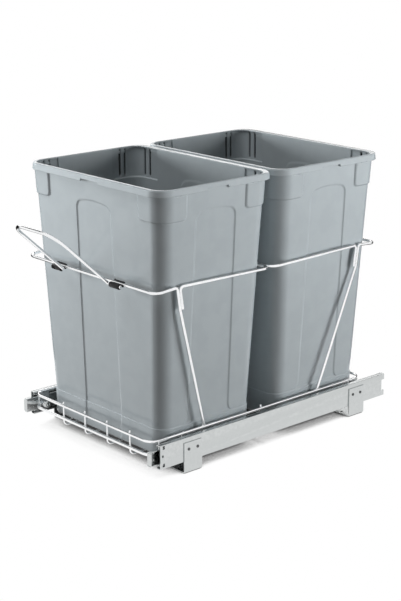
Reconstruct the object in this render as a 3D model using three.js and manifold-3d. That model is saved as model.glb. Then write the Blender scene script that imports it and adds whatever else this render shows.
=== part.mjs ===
// Twin-bin pull-out unit for a kitchen base cabinet: a wire basket on two full-extension ball slides.
// Millimetres, +Z up, the front (pull-out) side faces -Y, +X is the right-hand side seen from the front.
// Lengths along Y are counted from the front end of the cabinet rails until the last lines centre the unit.
import * as THREE from "three";
import { mergeVertices } from "three/addons/utils/BufferGeometryUtils.js";
import Module from "manifold-3d";

const wasm = await Module();
wasm.setup();

// ---------- clearances ----------
const SEAT_GAP = 0.3; // between pieces that rest on each other or are welded together
const FACE_GAP = 0.2; // between a bracket and the rail it is riveted to
const BALL_PLAY = 0.15; // each side of a ball in its race
const HOLE_PLAY = 0.3; // a hole's radius over its fastener's
const BIN_REAR_PLAY = 0.5; // back of the rear bin to the rear wire
const RIM_GAP = 4; // between the two bins' rims
const RIM_SIDE_PLAY = 2.5; // bin rim inside the outer face of a cabinet rail
const RIM_FRONT_PLAY = 7.8; // front bin's rim behind the centre of the basket's front wire
const HOOP_SIDE_PLAY = 3.55; // hoop to the side of a bin
const HOOP_BIN_PLAY = 6.7; // middle cross wire to the front bin

// ---------- slides ----------
const UNIT_WIDTH = 368; // over the cabinet rails
const RAIL_LENGTH = 559;
const RAIL_HEIGHT = 43;
const RAIL_UNDERSIDE = 20; // above the cabinet floor
const RAIL_WALL = 1.3;
const RAIL_FLANGE = 9.8;
const RAIL_LIP = 2.2; // turned-in edge that keeps the outer balls
const RAIL_LIP_WALL = 1;
const SLIDE_THICKNESS = 12.7;
const MIDDLE_WALL = 1.2;
const MIDDLE_FLANGE = 7.1;
const MIDDLE_SETBACK = 2.2; // behind the front end of the cabinet rail
const MIDDLE_REAR_SETBACK = 20.8; // ahead of the rear end of the cabinet rail
const DRAWER_WALL = 1.2;
const DRAWER_FLANGE = 7.6;
const DRAWER_OVERHANG = 18; // the drawer rail stands out of the cabinet rail at the front
const OUTER_BALL = 3.2;
const INNER_BALL = 2.4;
const CAGE_WALL = 0.6;
const CAGE_LENGTH = 200;
const CAGE_BALLS = 5; // in each row
const OUTER_BALL_INSET = 5.7; // ball row to the outside of the cabinet rail
const INNER_BALL_INSET = 7;
const END_TAB_WIDTH = 9.6; // stop tab at the front end of a drawer rail
const END_TAB_HEIGHT = 22;
const BUMPER_LENGTH = 10;
const BUMPER_HEIGHT = 19;
const BUMPER_THICKNESS = 9;
const REAR_NOTCH_DEPTH = 7;
const REAR_NOTCH_HEIGHT = 21;

// ---------- floor brackets ----------
const BRACKET_WIDTH = 40;
const BRACKET_HEIGHT = 54.5;
const BRACKET_WALL = 1.8;
const BRACKET_FOOT = 37.5;
const BRACKET_BEND = 3;
const FRONT_BRACKET_Y = 71.7; // centre, behind the front end of the rail
const REAR_BRACKET_INSET = 78.8; // centre, ahead of the rear end of the rail
const FOOT_HOLE_RADIUS = 2.75;
const FOOT_HOLE_SPACING = 22;
const FOOT_HOLE_INSET = 11; // from the foot's free edge
const RIVET_RADIUS = 1.6;
const RIVET_HEAD_RADIUS = 2.7;
const RIVET_HEAD_HEIGHT = 1;
const RIVET_SPACING = 20;
const RIVET_Z = 42.4;

// ---------- basket ----------
const FRAME_WIRE = 5;
const FRAME_BEND = 20;
const FRAME_Z = 64.3; // wire centre
const FRAME_FRONT_SETBACK = 12.7; // front wire behind the front ends of the drawer rails
const FRAME_REAR_SETBACK = 29.9; // rear wire ahead of the rear ends of the drawer rails
const FRONT_ROD = 5.5;
const FRONT_ROD_Z = 40.6;
const FLOOR_WIRE = 3.5;
const FLOOR_WIRE_Z = 25.5;
const FLOOR_WIRE_COUNT = 4;
const FLOOR_WIRE_PITCH = 62.5;
const FLOOR_WIRE_SHIFT = 11.75; // the row stands off centre, to the right
const FLOOR_WIRE_BEND = 9;
const WIRE_TIP = 5.2; // an upright ends this far above the centre of the frame wire
const CROSS_WIRE = 4;
const CROSS_WIRE_BEND = 8;
const CROSS_WIRE_SPREAD = 185; // outer cross wires from the middle one
const TAB_WIDTH = 22;
const TAB_WALL = 1.8;
const TAB_UNDERSIDE = 28;
const TAB_TOP = 66;
const TAB_INSET = 24.5; // centre, from the frame's front or rear wire
const TAB_BOLT_SHIFT = 4; // bolt from the tab's centre, away from the basket's end
const BOLT_RADIUS = 3;
const BOLT_Z = 36;
const BOLT_HEAD_RADIUS = 5.2;
const BOLT_HEAD_HEIGHT = 3.6;
const NUT_FLANGE_RADIUS = 6.2;
const NUT_FLANGE_HEIGHT = 1.4;
const NUT_RADIUS = 5.4;
const NUT_HEIGHT = 6;
const BOLT_TIP = 1; // thread that shows past the nut

// ---------- bins ----------
const BIN_HEIGHT = 464;
const RIM_HEIGHT = 12;
const RIM_CORNER = 31;
const RIM_WALL = 2.2; // of the turned-over edge
const RIM_SIDE_OVERHANG = 3.5; // rim beyond the body
const RIM_FRONT_OVERHANG = 7;
const RIM_BACK_OVERHANG = 12.9;
const BODY_CORNER = 24.3; // at the base
const DRAFT_X = 0.0563; // outward per unit of height
const DRAFT_Y = 0.0404;
const BIN_WALL = 3; // over the panels' relief
const BIN_FLOOR = 3.5;
const PLINTH_HEIGHT = 46;
const PLINTH_STEP = 0.9;
const PLINTH_CHAMFER = 5;
const PAD_STEP = 2.4; // corner pads stand out of the body
const PAD_HEIGHT = 43;
const PAD_WIDTH = 58.5;
const PANEL_DEPTH = 1.8;
const PANEL_HALF_WIDTH = 48; // front and back
const SIDE_PANEL_HALF_WIDTH = 45.4;
const PANEL_FLARE = 3.5; // half a panel is this much wider at the plinth
const PANEL_CROWN = 30; // top of the arch below the rim
const PANEL_RISE = 9;
const PANEL_CORNER = 13;
const LIP_NOTCH_WIDTH = 46;
const LIP_NOTCH_HEIGHT = 4.5;

// ---------- hoops ----------
const HOOP_WIRE = 5.5;
const HOOP_Z = 326.5; // at the welded joints
const HOOP_DROOP = 3.5; // the cross wires lie this far lower
const HOOP_BEND = 15;
const HOOP_SETBACK = 5.5; // front cross wire behind the basket's front wire
const HOOP_REAR_OVERHANG = 19; // rear cross wire behind the basket's rear wire
const JOINT_INSET = 49; // welded joint from the front or rear cross wire
const JOINT_LENGTH = 39;
const JOINT_LEAN = 6;
const JOINT_BEND = 6;
const STRUT_FOOT_INSET = 118; // from the frame's front or rear wire
const STRUT_BEND = 12;
const STRUT_FOOT_LIFT = 0.9;

// ---------- handle ----------
const HANDLE_WIRE = 5.5;
const HANDLE_HALF_WIDTH = 62;
const HANDLE_REACH = 146; // pivot to cross bar
const HANDLE_BEND = 35;
const HANDLE_FOOT_BEND = 5;
const HANDLE_ANGLE = THREE.MathUtils.degToRad(42); // above the horizontal
const PIVOT_SLOPE = THREE.MathUtils.degToRad(22); // line from the hoop wire forward and down to the pivot
const CLIP_LENGTH = 25;
const CLIP_WALL = 1.9;
const CLIP_UPPER_END = THREE.MathUtils.degToRad(85); // the upper hook ends over the hoop wire
const CLIP_LOWER_END = THREE.MathUtils.degToRad(285); // the lower hook ends under the handle's foot
const CLIP_END_PLAY = 0.5; // bend of the handle's leg to the clip
const PIVOT_STICK_OUT = 1.5; // handle wire past the clip

// ---------- levels and places that follow ----------
const outsideX = UNIT_WIDTH / 2;
const railMidZ = RAIL_UNDERSIDE + RAIL_HEIGHT / 2;
const railRearY = RAIL_LENGTH;
const drawerWebX = outsideX - SLIDE_THICKNESS; // inner face of the drawer rail's web
const cabinetHalf = RAIL_HEIGHT / 2 - RAIL_WALL;
const middleHalf = cabinetHalf - OUTER_BALL - 2 * BALL_PLAY;
const middleInnerHalf = middleHalf - MIDDLE_WALL;
const drawerHalf = middleInnerHalf - INNER_BALL - 2 * BALL_PLAY;
const middleWebX = outsideX - RAIL_WALL - CAGE_WALL - 2 * SEAT_GAP; // outer face of its web
const middleRearY = RAIL_LENGTH - MIDDLE_REAR_SETBACK;
const drawerFrontY = -DRAWER_OVERHANG;
const drawerRearY = drawerFrontY + RAIL_LENGTH;
const cageMidY = (MIDDLE_SETBACK + middleRearY) / 2;
const tabX = drawerWebX - FACE_GAP; // outer face of a mounting tab
const frameHalf = tabX - TAB_WALL - SEAT_GAP - FRAME_WIRE / 2;
const frameFrontY = drawerFrontY + FRAME_FRONT_SETBACK;
const frameRearY = drawerRearY - FRAME_REAR_SETBACK;
const frameMidY = (frameFrontY + frameRearY) / 2;
const binZ = FLOOR_WIRE_Z + FLOOR_WIRE / 2 + SEAT_GAP;
const bodyHeight = BIN_HEIGHT - RIM_HEIGHT;
const plinthBackY = frameRearY - FRAME_WIRE / 2 - BIN_REAR_PLAY; // of the rear bin
const rimBackY = plinthBackY - PLINTH_STEP + DRAFT_Y * (bodyHeight - PLINTH_HEIGHT) + RIM_BACK_OVERHANG;
const rimFrontY = frameFrontY + RIM_FRONT_PLAY; // of the front bin
const rimWidth = UNIT_WIDTH - 2 * RIM_SIDE_PLAY;
const rimDepth = (rimBackY - rimFrontY - RIM_GAP) / 2;
const rimShift = (RIM_BACK_OVERHANG - RIM_FRONT_OVERHANG) / 2; // rim's centre behind the body's
const bodyHalfX = rimWidth / 2 - RIM_SIDE_OVERHANG - DRAFT_X * bodyHeight; // at the base
const bodyHalfY = rimDepth / 2 + rimShift - RIM_BACK_OVERHANG - DRAFT_Y * bodyHeight;
const plinthHalfX = bodyHalfX + DRAFT_X * PLINTH_HEIGHT + PLINTH_STEP;
const plinthHalfY = bodyHalfY + DRAFT_Y * PLINTH_HEIGHT + PLINTH_STEP;
const rearBinY = rimBackY - rimDepth / 2 - rimShift; // middle of the body
const frontBinY = rimFrontY + rimDepth / 2 - rimShift;
const hoopCrossZ = HOOP_Z - HOOP_DROOP;
const hoopFrontY = frameFrontY + HOOP_SETBACK;
const hoopRearY = frameRearY + HOOP_REAR_OVERHANG;
const bodyHalfXAtHoop = bodyHalfX + DRAFT_X * (hoopCrossZ - binZ);
const bodyHalfYAtHoop = bodyHalfY + DRAFT_Y * (hoopCrossZ - binZ);
const hoopHalfWidth = bodyHalfXAtHoop + HOOP_SIDE_PLAY + HOOP_WIRE / 2;
const frontMiddleCrossY = frontBinY + bodyHalfYAtHoop + HOOP_BIN_PLAY + HOOP_WIRE / 2;
const rearMiddleCrossY = frontMiddleCrossY + HOOP_WIRE + SEAT_GAP;
const hoopGrip = HOOP_WIRE / 2 + SEAT_GAP; // radius inside a clip's hook
const footGrip = HANDLE_WIRE / 2 + SEAT_GAP;
const pivotReach = hoopGrip + footGrip + CLIP_WALL;
const pivotY = hoopFrontY - pivotReach * Math.cos(PIVOT_SLOPE);
const pivotZ = hoopCrossZ - pivotReach * Math.sin(PIVOT_SLOPE);

// ---------- materials ----------
const metal = (color, roughness) => new THREE.MeshStandardMaterial({ color, roughness, metalness: 1 });
const plastic = (color, roughness) => new THREE.MeshStandardMaterial({ color, roughness, metalness: 0 });
const zinc = () => metal(0xc3c8c8, 0.42);
const chrome = () => metal(0xe4e6e8, 0.12);
const binGrey = () => plastic(0x9aa1a4, 0.38);
const clipBlack = () => plastic(0x141516, 0.45);

// ---------- booleans ----------
/** A closed geometry as a solid that can be joined and cut. */
function solidOf(geometry) {
  const bare = new THREE.BufferGeometry().setAttribute("position", geometry.getAttribute("position"));
  bare.setIndex(geometry.index);
  const merged = mergeVertices(bare, 1e-3);
  return new wasm.Manifold(
    new wasm.Mesh({
      numProp: 3,
      vertProperties: new Float32Array(merged.getAttribute("position").array),
      triVerts: new Uint32Array(merged.index.array),
    }),
  );
}

/** The flat-shaded geometry of a solid. */
function geometryOf(solid) {
  const { numProp, vertProperties, triVerts } = solid.getMesh();
  const positions = [];
  for (let i = 0; i < vertProperties.length; i += numProp) {
    positions.push(vertProperties[i], vertProperties[i + 1], vertProperties[i + 2]);
  }
  const indexed = new THREE.BufferGeometry();
  indexed.setAttribute("position", new THREE.Float32BufferAttribute(positions, 3));
  indexed.setIndex(Array.from(triVerts));
  const geometry = indexed.toNonIndexed();
  geometry.computeVertexNormals();
  return geometry;
}

const join = (first, ...others) =>
  geometryOf(others.reduce((whole, piece) => whole.add(solidOf(piece)), solidOf(first)));
const cut = (body, ...tools) =>
  geometryOf(tools.reduce((rest, tool) => rest.subtract(solidOf(tool)), solidOf(body)));
const common = (first, ...others) =>
  geometryOf(others.reduce((whole, piece) => whole.intersect(solidOf(piece)), solidOf(first)));

// ---------- shapes ----------
/** A box between two corners. */
function block([x0, y0, z0], [x1, y1, z1]) {
  const box = new THREE.BoxGeometry(x1 - x0, y1 - y0, z1 - z0);
  return box.translate((x0 + x1) / 2, (y0 + y1) / 2, (z0 + z1) / 2);
}

/** A polygon drawn in X and Z, drawn out along Y from y0 to y1. */
function profileAlongY(points, y0, y1) {
  const outline = new THREE.Shape(points.map(([x, z]) => new THREE.Vector2(x, z)));
  const geometry = new THREE.ExtrudeGeometry(outline, { depth: y1 - y0, bevelEnabled: false });
  return geometry.rotateX(Math.PI / 2).translate(0, y1, 0);
}

/** A round bar along X with its centre at y, z. */
function barAlongX(radius, x0, x1, y, z, sides = 12) {
  return new THREE.CylinderGeometry(radius, radius, Math.abs(x1 - x0), sides)
    .rotateZ(Math.PI / 2)
    .translate((x0 + x1) / 2, y, z);
}

/** A rounded rectangle about the origin. */
function roundedRectangle(halfX, halfY, radius) {
  const outline = new THREE.Shape();
  outline.moveTo(halfX - radius, -halfY);
  outline.absarc(halfX - radius, -halfY + radius, radius, -Math.PI / 2, 0);
  outline.absarc(halfX - radius, halfY - radius, radius, 0, Math.PI / 2);
  outline.absarc(-halfX + radius, halfY - radius, radius, Math.PI / 2, Math.PI);
  outline.absarc(-halfX + radius, -halfY + radius, radius, Math.PI, 1.5 * Math.PI);
  return outline;
}

/** A rounded block from z0 up, whose sides lean out by the drafts per unit of height. */
function draftedBlock(halfX, halfY, radius, z0, height, draftX = DRAFT_X, draftY = DRAFT_Y) {
  const options = { depth: height, bevelEnabled: false, curveSegments: 5 };
  const geometry = new THREE.ExtrudeGeometry(roundedRectangle(halfX, halfY, radius), options);
  const place = geometry.getAttribute("position");
  for (let i = 0; i < place.count; i++) {
    const z = place.getZ(i);
    const [leanX, leanY] = [1 + (draftX * z) / halfX, 1 + (draftY * z) / halfY];
    place.setXYZ(i, place.getX(i) * leanX, place.getY(i) * leanY, z0 + z);
  }
  return geometry;
}

/** The centre line of a bent wire: straight runs between corners, each corner rounded to its radius. */
class WirePath extends THREE.Curve {
  constructor(corners, radii, stepsPerBend = 4) {
    super();
    this.points = [corners[0].clone()];
    for (let i = 1; i < corners.length - 1; i++) {
      const radius = Array.isArray(radii) ? radii[i - 1] : radii;
      this.addBend(corners[i - 1], corners[i], corners[i + 1], radius, stepsPerBend);
    }
    this.points.push(corners.at(-1).clone());
  }

  addBend(before, corner, after, radius, steps) {
    const back = before.clone().sub(corner).normalize();
    const on = after.clone().sub(corner).normalize();
    const half = back.angleTo(on) / 2;
    const toCentre = back.clone().add(on).normalize().multiplyScalar(radius / Math.sin(half));
    const centre = corner.clone().add(toCentre);
    const start = corner.clone().addScaledVector(back, radius / Math.tan(half)).sub(centre);
    const axis = back.clone().cross(on).normalize();
    const turn = Math.PI - 2 * half;
    for (let k = 0; k <= steps; k++) {
      this.points.push(start.clone().applyAxisAngle(axis, (-turn * k) / steps).add(centre));
    }
  }

  get steps() {
    return this.points.length - 1;
  }

  getPoint(t, target = new THREE.Vector3()) {
    const place = t * this.steps;
    const i = Math.min(Math.floor(place), this.steps - 1);
    return target.lerpVectors(this.points[i], this.points[i + 1], place - i);
  }

  getPointAt(u, target) {
    return this.getPoint(u, target);
  }

  getTangentAt(u, target = new THREE.Vector3()) {
    const i = Math.round(u * this.steps);
    const into = this.points[i].clone().sub(this.points[Math.max(i - 1, 0)]).normalize();
    const out = this.points[Math.min(i + 1, this.steps)].clone().sub(this.points[i]).normalize();
    return target.copy(into.add(out)).normalize();
  }
}

/** A wire along a path, its flats one diameter apart. */
function wire(diameter, path, sides = 8) {
  const radius = diameter / 2 / Math.cos(Math.PI / sides);
  const ring = [];
  for (let i = 0; i < sides; i++) {
    const angle = ((i + 0.5) * 2 * Math.PI) / sides;
    ring.push(new THREE.Vector2(Math.cos(angle), Math.sin(angle)).multiplyScalar(radius));
  }
  return new THREE.ExtrudeGeometry(new THREE.Shape(ring), { steps: path.steps, extrudePath: path });
}

const at = (x, y, z) => new THREE.Vector3(x, y, z);
const mirrored = (points) => [...points, ...points.toReversed().map((p) => at(-p.x, p.y, p.z))];

// ---------- scene ----------
const unit = new THREE.Group();

function place(parent, name, geometry, material) {
  const mesh = new THREE.Mesh(geometry, material);
  mesh.name = name;
  parent.add(mesh);
  return mesh;
}

// ---------- slides: drawn for the right-hand side, mirrored for the left ----------
/** A channel with its web at webX (outer face) and its flanges towards the basket. */
function channelPoints(webX, half, wall, flange) {
  return [
    [webX, railMidZ - half],
    [webX, railMidZ + half],
    [webX - flange, railMidZ + half],
    [webX - flange, railMidZ + half - wall],
    [webX - wall, railMidZ + half - wall],
    [webX - wall, railMidZ - half + wall],
    [webX - flange, railMidZ - half + wall],
    [webX - flange, railMidZ - half],
  ];
}

function cabinetRail(bracketCentres) {
  const half = RAIL_HEIGHT / 2;
  const lipX = outsideX - RAIL_FLANGE;
  const lipHeight = RAIL_WALL + RAIL_LIP;
  const lip = (z) => block([lipX, 0, z], [lipX + RAIL_LIP_WALL, RAIL_LENGTH, z + lipHeight]);
  const channel = profileAlongY(channelPoints(outsideX, half, RAIL_WALL, RAIL_FLANGE), 0, RAIL_LENGTH);
  const web = [outsideX - 2 * RAIL_WALL, outsideX + RAIL_WALL];
  const window = (y, z, width, height) =>
    block([web[0], y - width / 2, z - height / 2], [web[1], y + width / 2, z + height / 2]);
  const windowY = 7.5;
  const windows = [
    window(windowY, railMidZ + 16.7, 5, 6),
    window(windowY - 2, railMidZ + 1.7, 3.5, 4),
    window(windowY, railMidZ - 14.6, 5, 6),
  ];
  const notch = window(railRearY, railMidZ, 2 * REAR_NOTCH_DEPTH, REAR_NOTCH_HEIGHT);
  const rivetHoles = bracketCentres.flatMap((y) =>
    [-1, 1].map((s) => barAlongX(RIVET_RADIUS + HOLE_PLAY, ...web, y + (s * RIVET_SPACING) / 2, RIVET_Z, 8)),
  );
  const lips = [lip(railMidZ - half), lip(railMidZ + half - lipHeight)];
  return cut(join(channel, ...lips), ...windows, notch, ...rivetHoles);
}

function middleRail() {
  const points = channelPoints(middleWebX, middleHalf, MIDDLE_WALL, MIDDLE_FLANGE);
  return profileAlongY(points, MIDDLE_SETBACK, middleRearY);
}

const tabBoltY = [frameFrontY + TAB_INSET + TAB_BOLT_SHIFT, frameRearY - TAB_INSET - TAB_BOLT_SHIFT];

function drawerRail() {
  const points = channelPoints(-drawerWebX, drawerHalf, DRAWER_WALL, DRAWER_FLANGE).map(([x, z]) => [-x, z]);
  const channel = profileAlongY(points.toReversed(), drawerFrontY, drawerRearY);
  const stop = block(
    [drawerWebX, drawerFrontY, railMidZ - END_TAB_HEIGHT / 2],
    [drawerWebX + END_TAB_WIDTH, drawerFrontY + DRAWER_WALL, railMidZ + END_TAB_HEIGHT / 2],
  );
  const web = [drawerWebX - DRAWER_WALL, drawerWebX + 2 * DRAWER_WALL];
  const boltHoles = tabBoltY.map((y) => barAlongX(BOLT_RADIUS + HOLE_PLAY, ...web, y, BOLT_Z));
  const frontHoleY = drawerFrontY + 12.5;
  const frontHoles = [7, -5].map((z) => barAlongX(1.5, ...web, frontHoleY, railMidZ + z, 8));
  return cut(join(channel, stop), ...boltHoles, ...frontHoles);
}

/** A strip bent to a channel between two rails, with a row of balls in its upper and its lower edge. */
function ballCage(webX, rowHalf, rowX, ballDiameter, flangeEndX) {
  const half = rowHalf + CAGE_WALL / 2;
  const front = cageMidY - CAGE_LENGTH / 2;
  const strip = profileAlongY(
    channelPoints(webX, half, CAGE_WALL, webX - flangeEndX),
    front,
    front + CAGE_LENGTH,
  );
  const balls = [];
  for (const side of [-1, 1]) {
    for (let i = 0; i < CAGE_BALLS; i++) {
      const y = front + ((i + 0.5) * CAGE_LENGTH) / CAGE_BALLS;
      const ball = new THREE.SphereGeometry(ballDiameter / 2, 8, 6);
      balls.push(ball.translate(rowX, y, railMidZ + side * rowHalf));
    }
  }
  return join(strip, ...balls);
}

function outerCage() {
  const webX = outsideX - RAIL_WALL - SEAT_GAP;
  const rowHalf = (cabinetHalf + middleHalf) / 2;
  const rowX = outsideX - OUTER_BALL_INSET;
  return ballCage(webX, rowHalf, rowX, OUTER_BALL, outsideX - RAIL_FLANGE + RAIL_LIP_WALL + SEAT_GAP);
}

function innerCage() {
  const webX = middleWebX - MIDDLE_WALL - SEAT_GAP;
  const rowHalf = (middleInnerHalf + drawerHalf) / 2;
  const rowX = outsideX - INNER_BALL_INSET;
  return ballCage(webX, rowHalf, rowX, INNER_BALL, middleWebX - MIDDLE_FLANGE);
}

function rearBumper() {
  const web = outsideX - RAIL_WALL - SEAT_GAP;
  return block(
    [web - BUMPER_THICKNESS, drawerRearY + SEAT_GAP, railMidZ - BUMPER_HEIGHT / 2],
    [web, drawerRearY + SEAT_GAP + BUMPER_LENGTH, railMidZ + BUMPER_HEIGHT / 2],
  );
}

function floorBracket(y) {
  const inner = outsideX + FACE_GAP;
  const outer = inner + BRACKET_WALL;
  const outline = new THREE.Shape();
  outline.moveTo(outer - BRACKET_FOOT, 0);
  outline.lineTo(outer - BRACKET_BEND, 0);
  outline.absarc(outer - BRACKET_BEND, BRACKET_BEND, BRACKET_BEND, -Math.PI / 2, 0);
  outline.lineTo(outer, BRACKET_HEIGHT);
  outline.lineTo(inner, BRACKET_HEIGHT);
  outline.lineTo(inner, BRACKET_BEND);
  outline.lineTo(outer - BRACKET_BEND, BRACKET_WALL);
  outline.lineTo(outer - BRACKET_FOOT, BRACKET_WALL);
  const options = { depth: BRACKET_WIDTH, bevelEnabled: false, curveSegments: 3 };
  const plate = new THREE.ExtrudeGeometry(outline, options)
    .rotateX(Math.PI / 2)
    .translate(0, y + BRACKET_WIDTH / 2, 0);
  const footHoles = [-1, 1].map((s) =>
    new THREE.CylinderGeometry(FOOT_HOLE_RADIUS, FOOT_HOLE_RADIUS, 3 * BRACKET_WALL, 12)
      .rotateX(Math.PI / 2)
      .translate(outer - BRACKET_FOOT + FOOT_HOLE_INSET, y + (s * FOOT_HOLE_SPACING) / 2, BRACKET_WALL / 2),
  );
  const rivetHoles = [-1, 1].map((s) =>
    barAlongX(RIVET_RADIUS + HOLE_PLAY, inner - 1, outer + 1, y + (s * RIVET_SPACING) / 2, RIVET_Z, 8),
  );
  return cut(plate, ...footHoles, ...rivetHoles);
}

function bracketRivet(y) {
  const seat = outsideX + FACE_GAP + BRACKET_WALL + SEAT_GAP;
  const shank = barAlongX(RIVET_RADIUS, outsideX - RAIL_WALL + 0.1, seat + 0.2, y, RIVET_Z, 8);
  const head = barAlongX(RIVET_HEAD_RADIUS, seat, seat + RIVET_HEAD_HEIGHT, y, RIVET_Z, 10);
  return join(shank, head);
}

// ---------- mounting tabs and their bolts, right-hand side ----------
function mountingTab(y, boltY) {
  const plate = block(
    [tabX - TAB_WALL, y - TAB_WIDTH / 2, TAB_UNDERSIDE],
    [tabX, y + TAB_WIDTH / 2, TAB_TOP],
  );
  return cut(plate, barAlongX(BOLT_RADIUS + HOLE_PLAY, tabX - 2 * TAB_WALL, tabX + TAB_WALL, boltY, BOLT_Z));
}

function tabBolt(y) {
  const headX = drawerWebX + DRAWER_WALL + SEAT_GAP;
  const tipX = tabX - TAB_WALL - SEAT_GAP - NUT_HEIGHT - BOLT_TIP;
  const shank = barAlongX(BOLT_RADIUS, tipX, headX + 1, y, BOLT_Z, 10);
  return join(barAlongX(BOLT_HEAD_RADIUS, headX, headX + BOLT_HEAD_HEIGHT, y, BOLT_Z, 6), shank);
}

function tabNut(y) {
  const seat = tabX - TAB_WALL - SEAT_GAP;
  const flange = barAlongX(NUT_FLANGE_RADIUS, seat - NUT_FLANGE_HEIGHT, seat, y, BOLT_Z, 14);
  const hexagon = barAlongX(NUT_RADIUS, seat - NUT_HEIGHT, seat - NUT_FLANGE_HEIGHT / 2, y, BOLT_Z, 6);
  const thread = barAlongX(BOLT_RADIUS + HOLE_PLAY, seat - 2 * NUT_HEIGHT, seat + 1, y, BOLT_Z);
  return cut(join(flange, hexagon), thread);
}

const bracketCentres = [FRONT_BRACKET_Y, railRearY - REAR_BRACKET_INSET];
const tabCentres = [frameFrontY + TAB_INSET, frameRearY - TAB_INSET];
const endNames = ["front", "rear"];

for (const [side, sign] of [["right", 1], ["left", -1]]) {
  const slide = new THREE.Group();
  slide.scale.x = sign;
  unit.add(slide);
  place(slide, `${side}_cabinet_rail`, cabinetRail(bracketCentres), zinc());
  place(slide, `${side}_outer_ball_cage`, outerCage(), zinc());
  place(slide, `${side}_middle_rail`, middleRail(), zinc());
  place(slide, `${side}_inner_ball_cage`, innerCage(), zinc());
  place(slide, `${side}_drawer_rail`, drawerRail(), zinc());
  place(slide, `${side}_rear_bumper`, rearBumper(), clipBlack());
  endNames.forEach((end, i) => {
    place(slide, `${side}_${end}_bracket`, floorBracket(bracketCentres[i]), zinc());
    [-1, 1].forEach((s, k) => {
      const y = bracketCentres[i] + (s * RIVET_SPACING) / 2;
      place(slide, `${side}_${end}_bracket_rivet_${k + 1}`, bracketRivet(y), zinc());
    });
    place(slide, `${side}_${end}_mounting_tab`, mountingTab(tabCentres[i], tabBoltY[i]), chrome());
    place(slide, `${side}_${end}_tab_bolt`, tabBolt(tabBoltY[i]), zinc());
    place(slide, `${side}_${end}_tab_nut`, tabNut(tabBoltY[i]), zinc());
  });
}

// ---------- basket ----------
/** A closed ring of wire, eight-sided in section, from a rounded rectangle with its edges bevelled. */
function wireLoop(halfX, y0, y1, bend, diameter, z) {
  const bevel = diameter * (1 - Math.SQRT1_2);
  const over = diameter / 2 - bevel;
  const halfY = (y1 - y0) / 2;
  const outline = roundedRectangle(halfX + over, halfY + over, bend + over);
  outline.holes.push(roundedRectangle(halfX - over, halfY - over, bend - over));
  return new THREE.ExtrudeGeometry(outline, {
    depth: diameter - 2 * bevel,
    bevelSize: bevel,
    bevelThickness: bevel,
    bevelSegments: 1,
    curveSegments: 5,
  }).translate(0, (y0 + y1) / 2, z - over);
}

const uprightFrontY = frameFrontY + FRAME_WIRE / 2 + SEAT_GAP + FLOOR_WIRE / 2;
const uprightRearY = frameRearY + FRAME_WIRE / 2 + SEAT_GAP + FLOOR_WIRE / 2;

function floorWire(x) {
  const tip = FRAME_Z + WIRE_TIP;
  const corners = [
    at(x, uprightFrontY, tip),
    at(x, uprightFrontY, FLOOR_WIRE_Z),
    at(x, uprightRearY, FLOOR_WIRE_Z),
    at(x, uprightRearY, tip),
  ];
  return wire(FLOOR_WIRE, new WirePath(corners, FLOOR_WIRE_BEND));
}

function crossWire(y, tip) {
  const armX = frameHalf - FRAME_WIRE / 2 - SEAT_GAP - CROSS_WIRE / 2;
  const z = FLOOR_WIRE_Z - FLOOR_WIRE / 2 - SEAT_GAP - CROSS_WIRE / 2;
  return wire(CROSS_WIRE, new WirePath(mirrored([at(armX, y, tip), at(armX, y, z)]), CROSS_WIRE_BEND));
}

function frontRod() {
  const half = tabX - TAB_WALL - SEAT_GAP - FRONT_ROD / 2;
  const y = uprightFrontY - FLOOR_WIRE / 2 - SEAT_GAP - FRONT_ROD / 2;
  const end = y + FRAME_BEND + 1;
  const corners = mirrored([at(half, end, FRONT_ROD_Z), at(half, y, FRONT_ROD_Z)]);
  return wire(FRONT_ROD, new WirePath(corners, FRAME_BEND));
}

const topFrame = wireLoop(frameHalf, frameFrontY, frameRearY, FRAME_BEND, FRAME_WIRE, FRAME_Z);
place(unit, "basket_top_frame", topFrame, chrome());
place(unit, "basket_front_rod", frontRod(), chrome());
for (let i = 0; i < FLOOR_WIRE_COUNT; i++) {
  const x = FLOOR_WIRE_SHIFT + (i - (FLOOR_WIRE_COUNT - 1) / 2) * FLOOR_WIRE_PITCH;
  place(unit, `floor_wire_${i + 1}`, floorWire(x), chrome());
}
place(unit, "front_cross_wire", crossWire(frameMidY - CROSS_WIRE_SPREAD, FRAME_Z), chrome());
place(unit, "middle_cross_wire", crossWire(frameMidY, FRAME_Z + WIRE_TIP), chrome());
place(unit, "rear_cross_wire", crossWire(frameMidY + CROSS_WIRE_SPREAD, FRAME_Z), chrome());

// ---------- hoops ----------
/**
 * A half hoop whose ends turn down at the welded joint. direction is -1 for a cross wire ahead of the joint
 * and 1 for one behind it. leanTo is the way to the middle of the unit. With a footY the ends run on down
 * to the basket as struts.
 */
function halfHoop(crossY, jointY, direction, leanTo, footY) {
  const x = hoopHalfWidth;
  const offset = (direction * (HOOP_WIRE + SEAT_GAP)) / 2;
  const top = jointY + offset;
  const tailY = top + leanTo * JOINT_LEAN;
  const tailZ = HOOP_Z - JOINT_LENGTH;
  const corners = [at(x, tailY, tailZ), at(x, top, HOOP_Z), at(x, crossY, hoopCrossZ)];
  const radii = [JOINT_BEND, HOOP_BEND, HOOP_BEND, JOINT_BEND];
  if (footY !== undefined) {
    const footZ = FRAME_Z + FRAME_WIRE / 2 + SEAT_GAP + STRUT_FOOT_LIFT;
    corners.unshift(at(frameHalf, footY, footZ));
    radii.unshift(STRUT_BEND);
    radii.push(STRUT_BEND);
  }
  return wire(HOOP_WIRE, new WirePath(mirrored(corners), radii));
}

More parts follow.
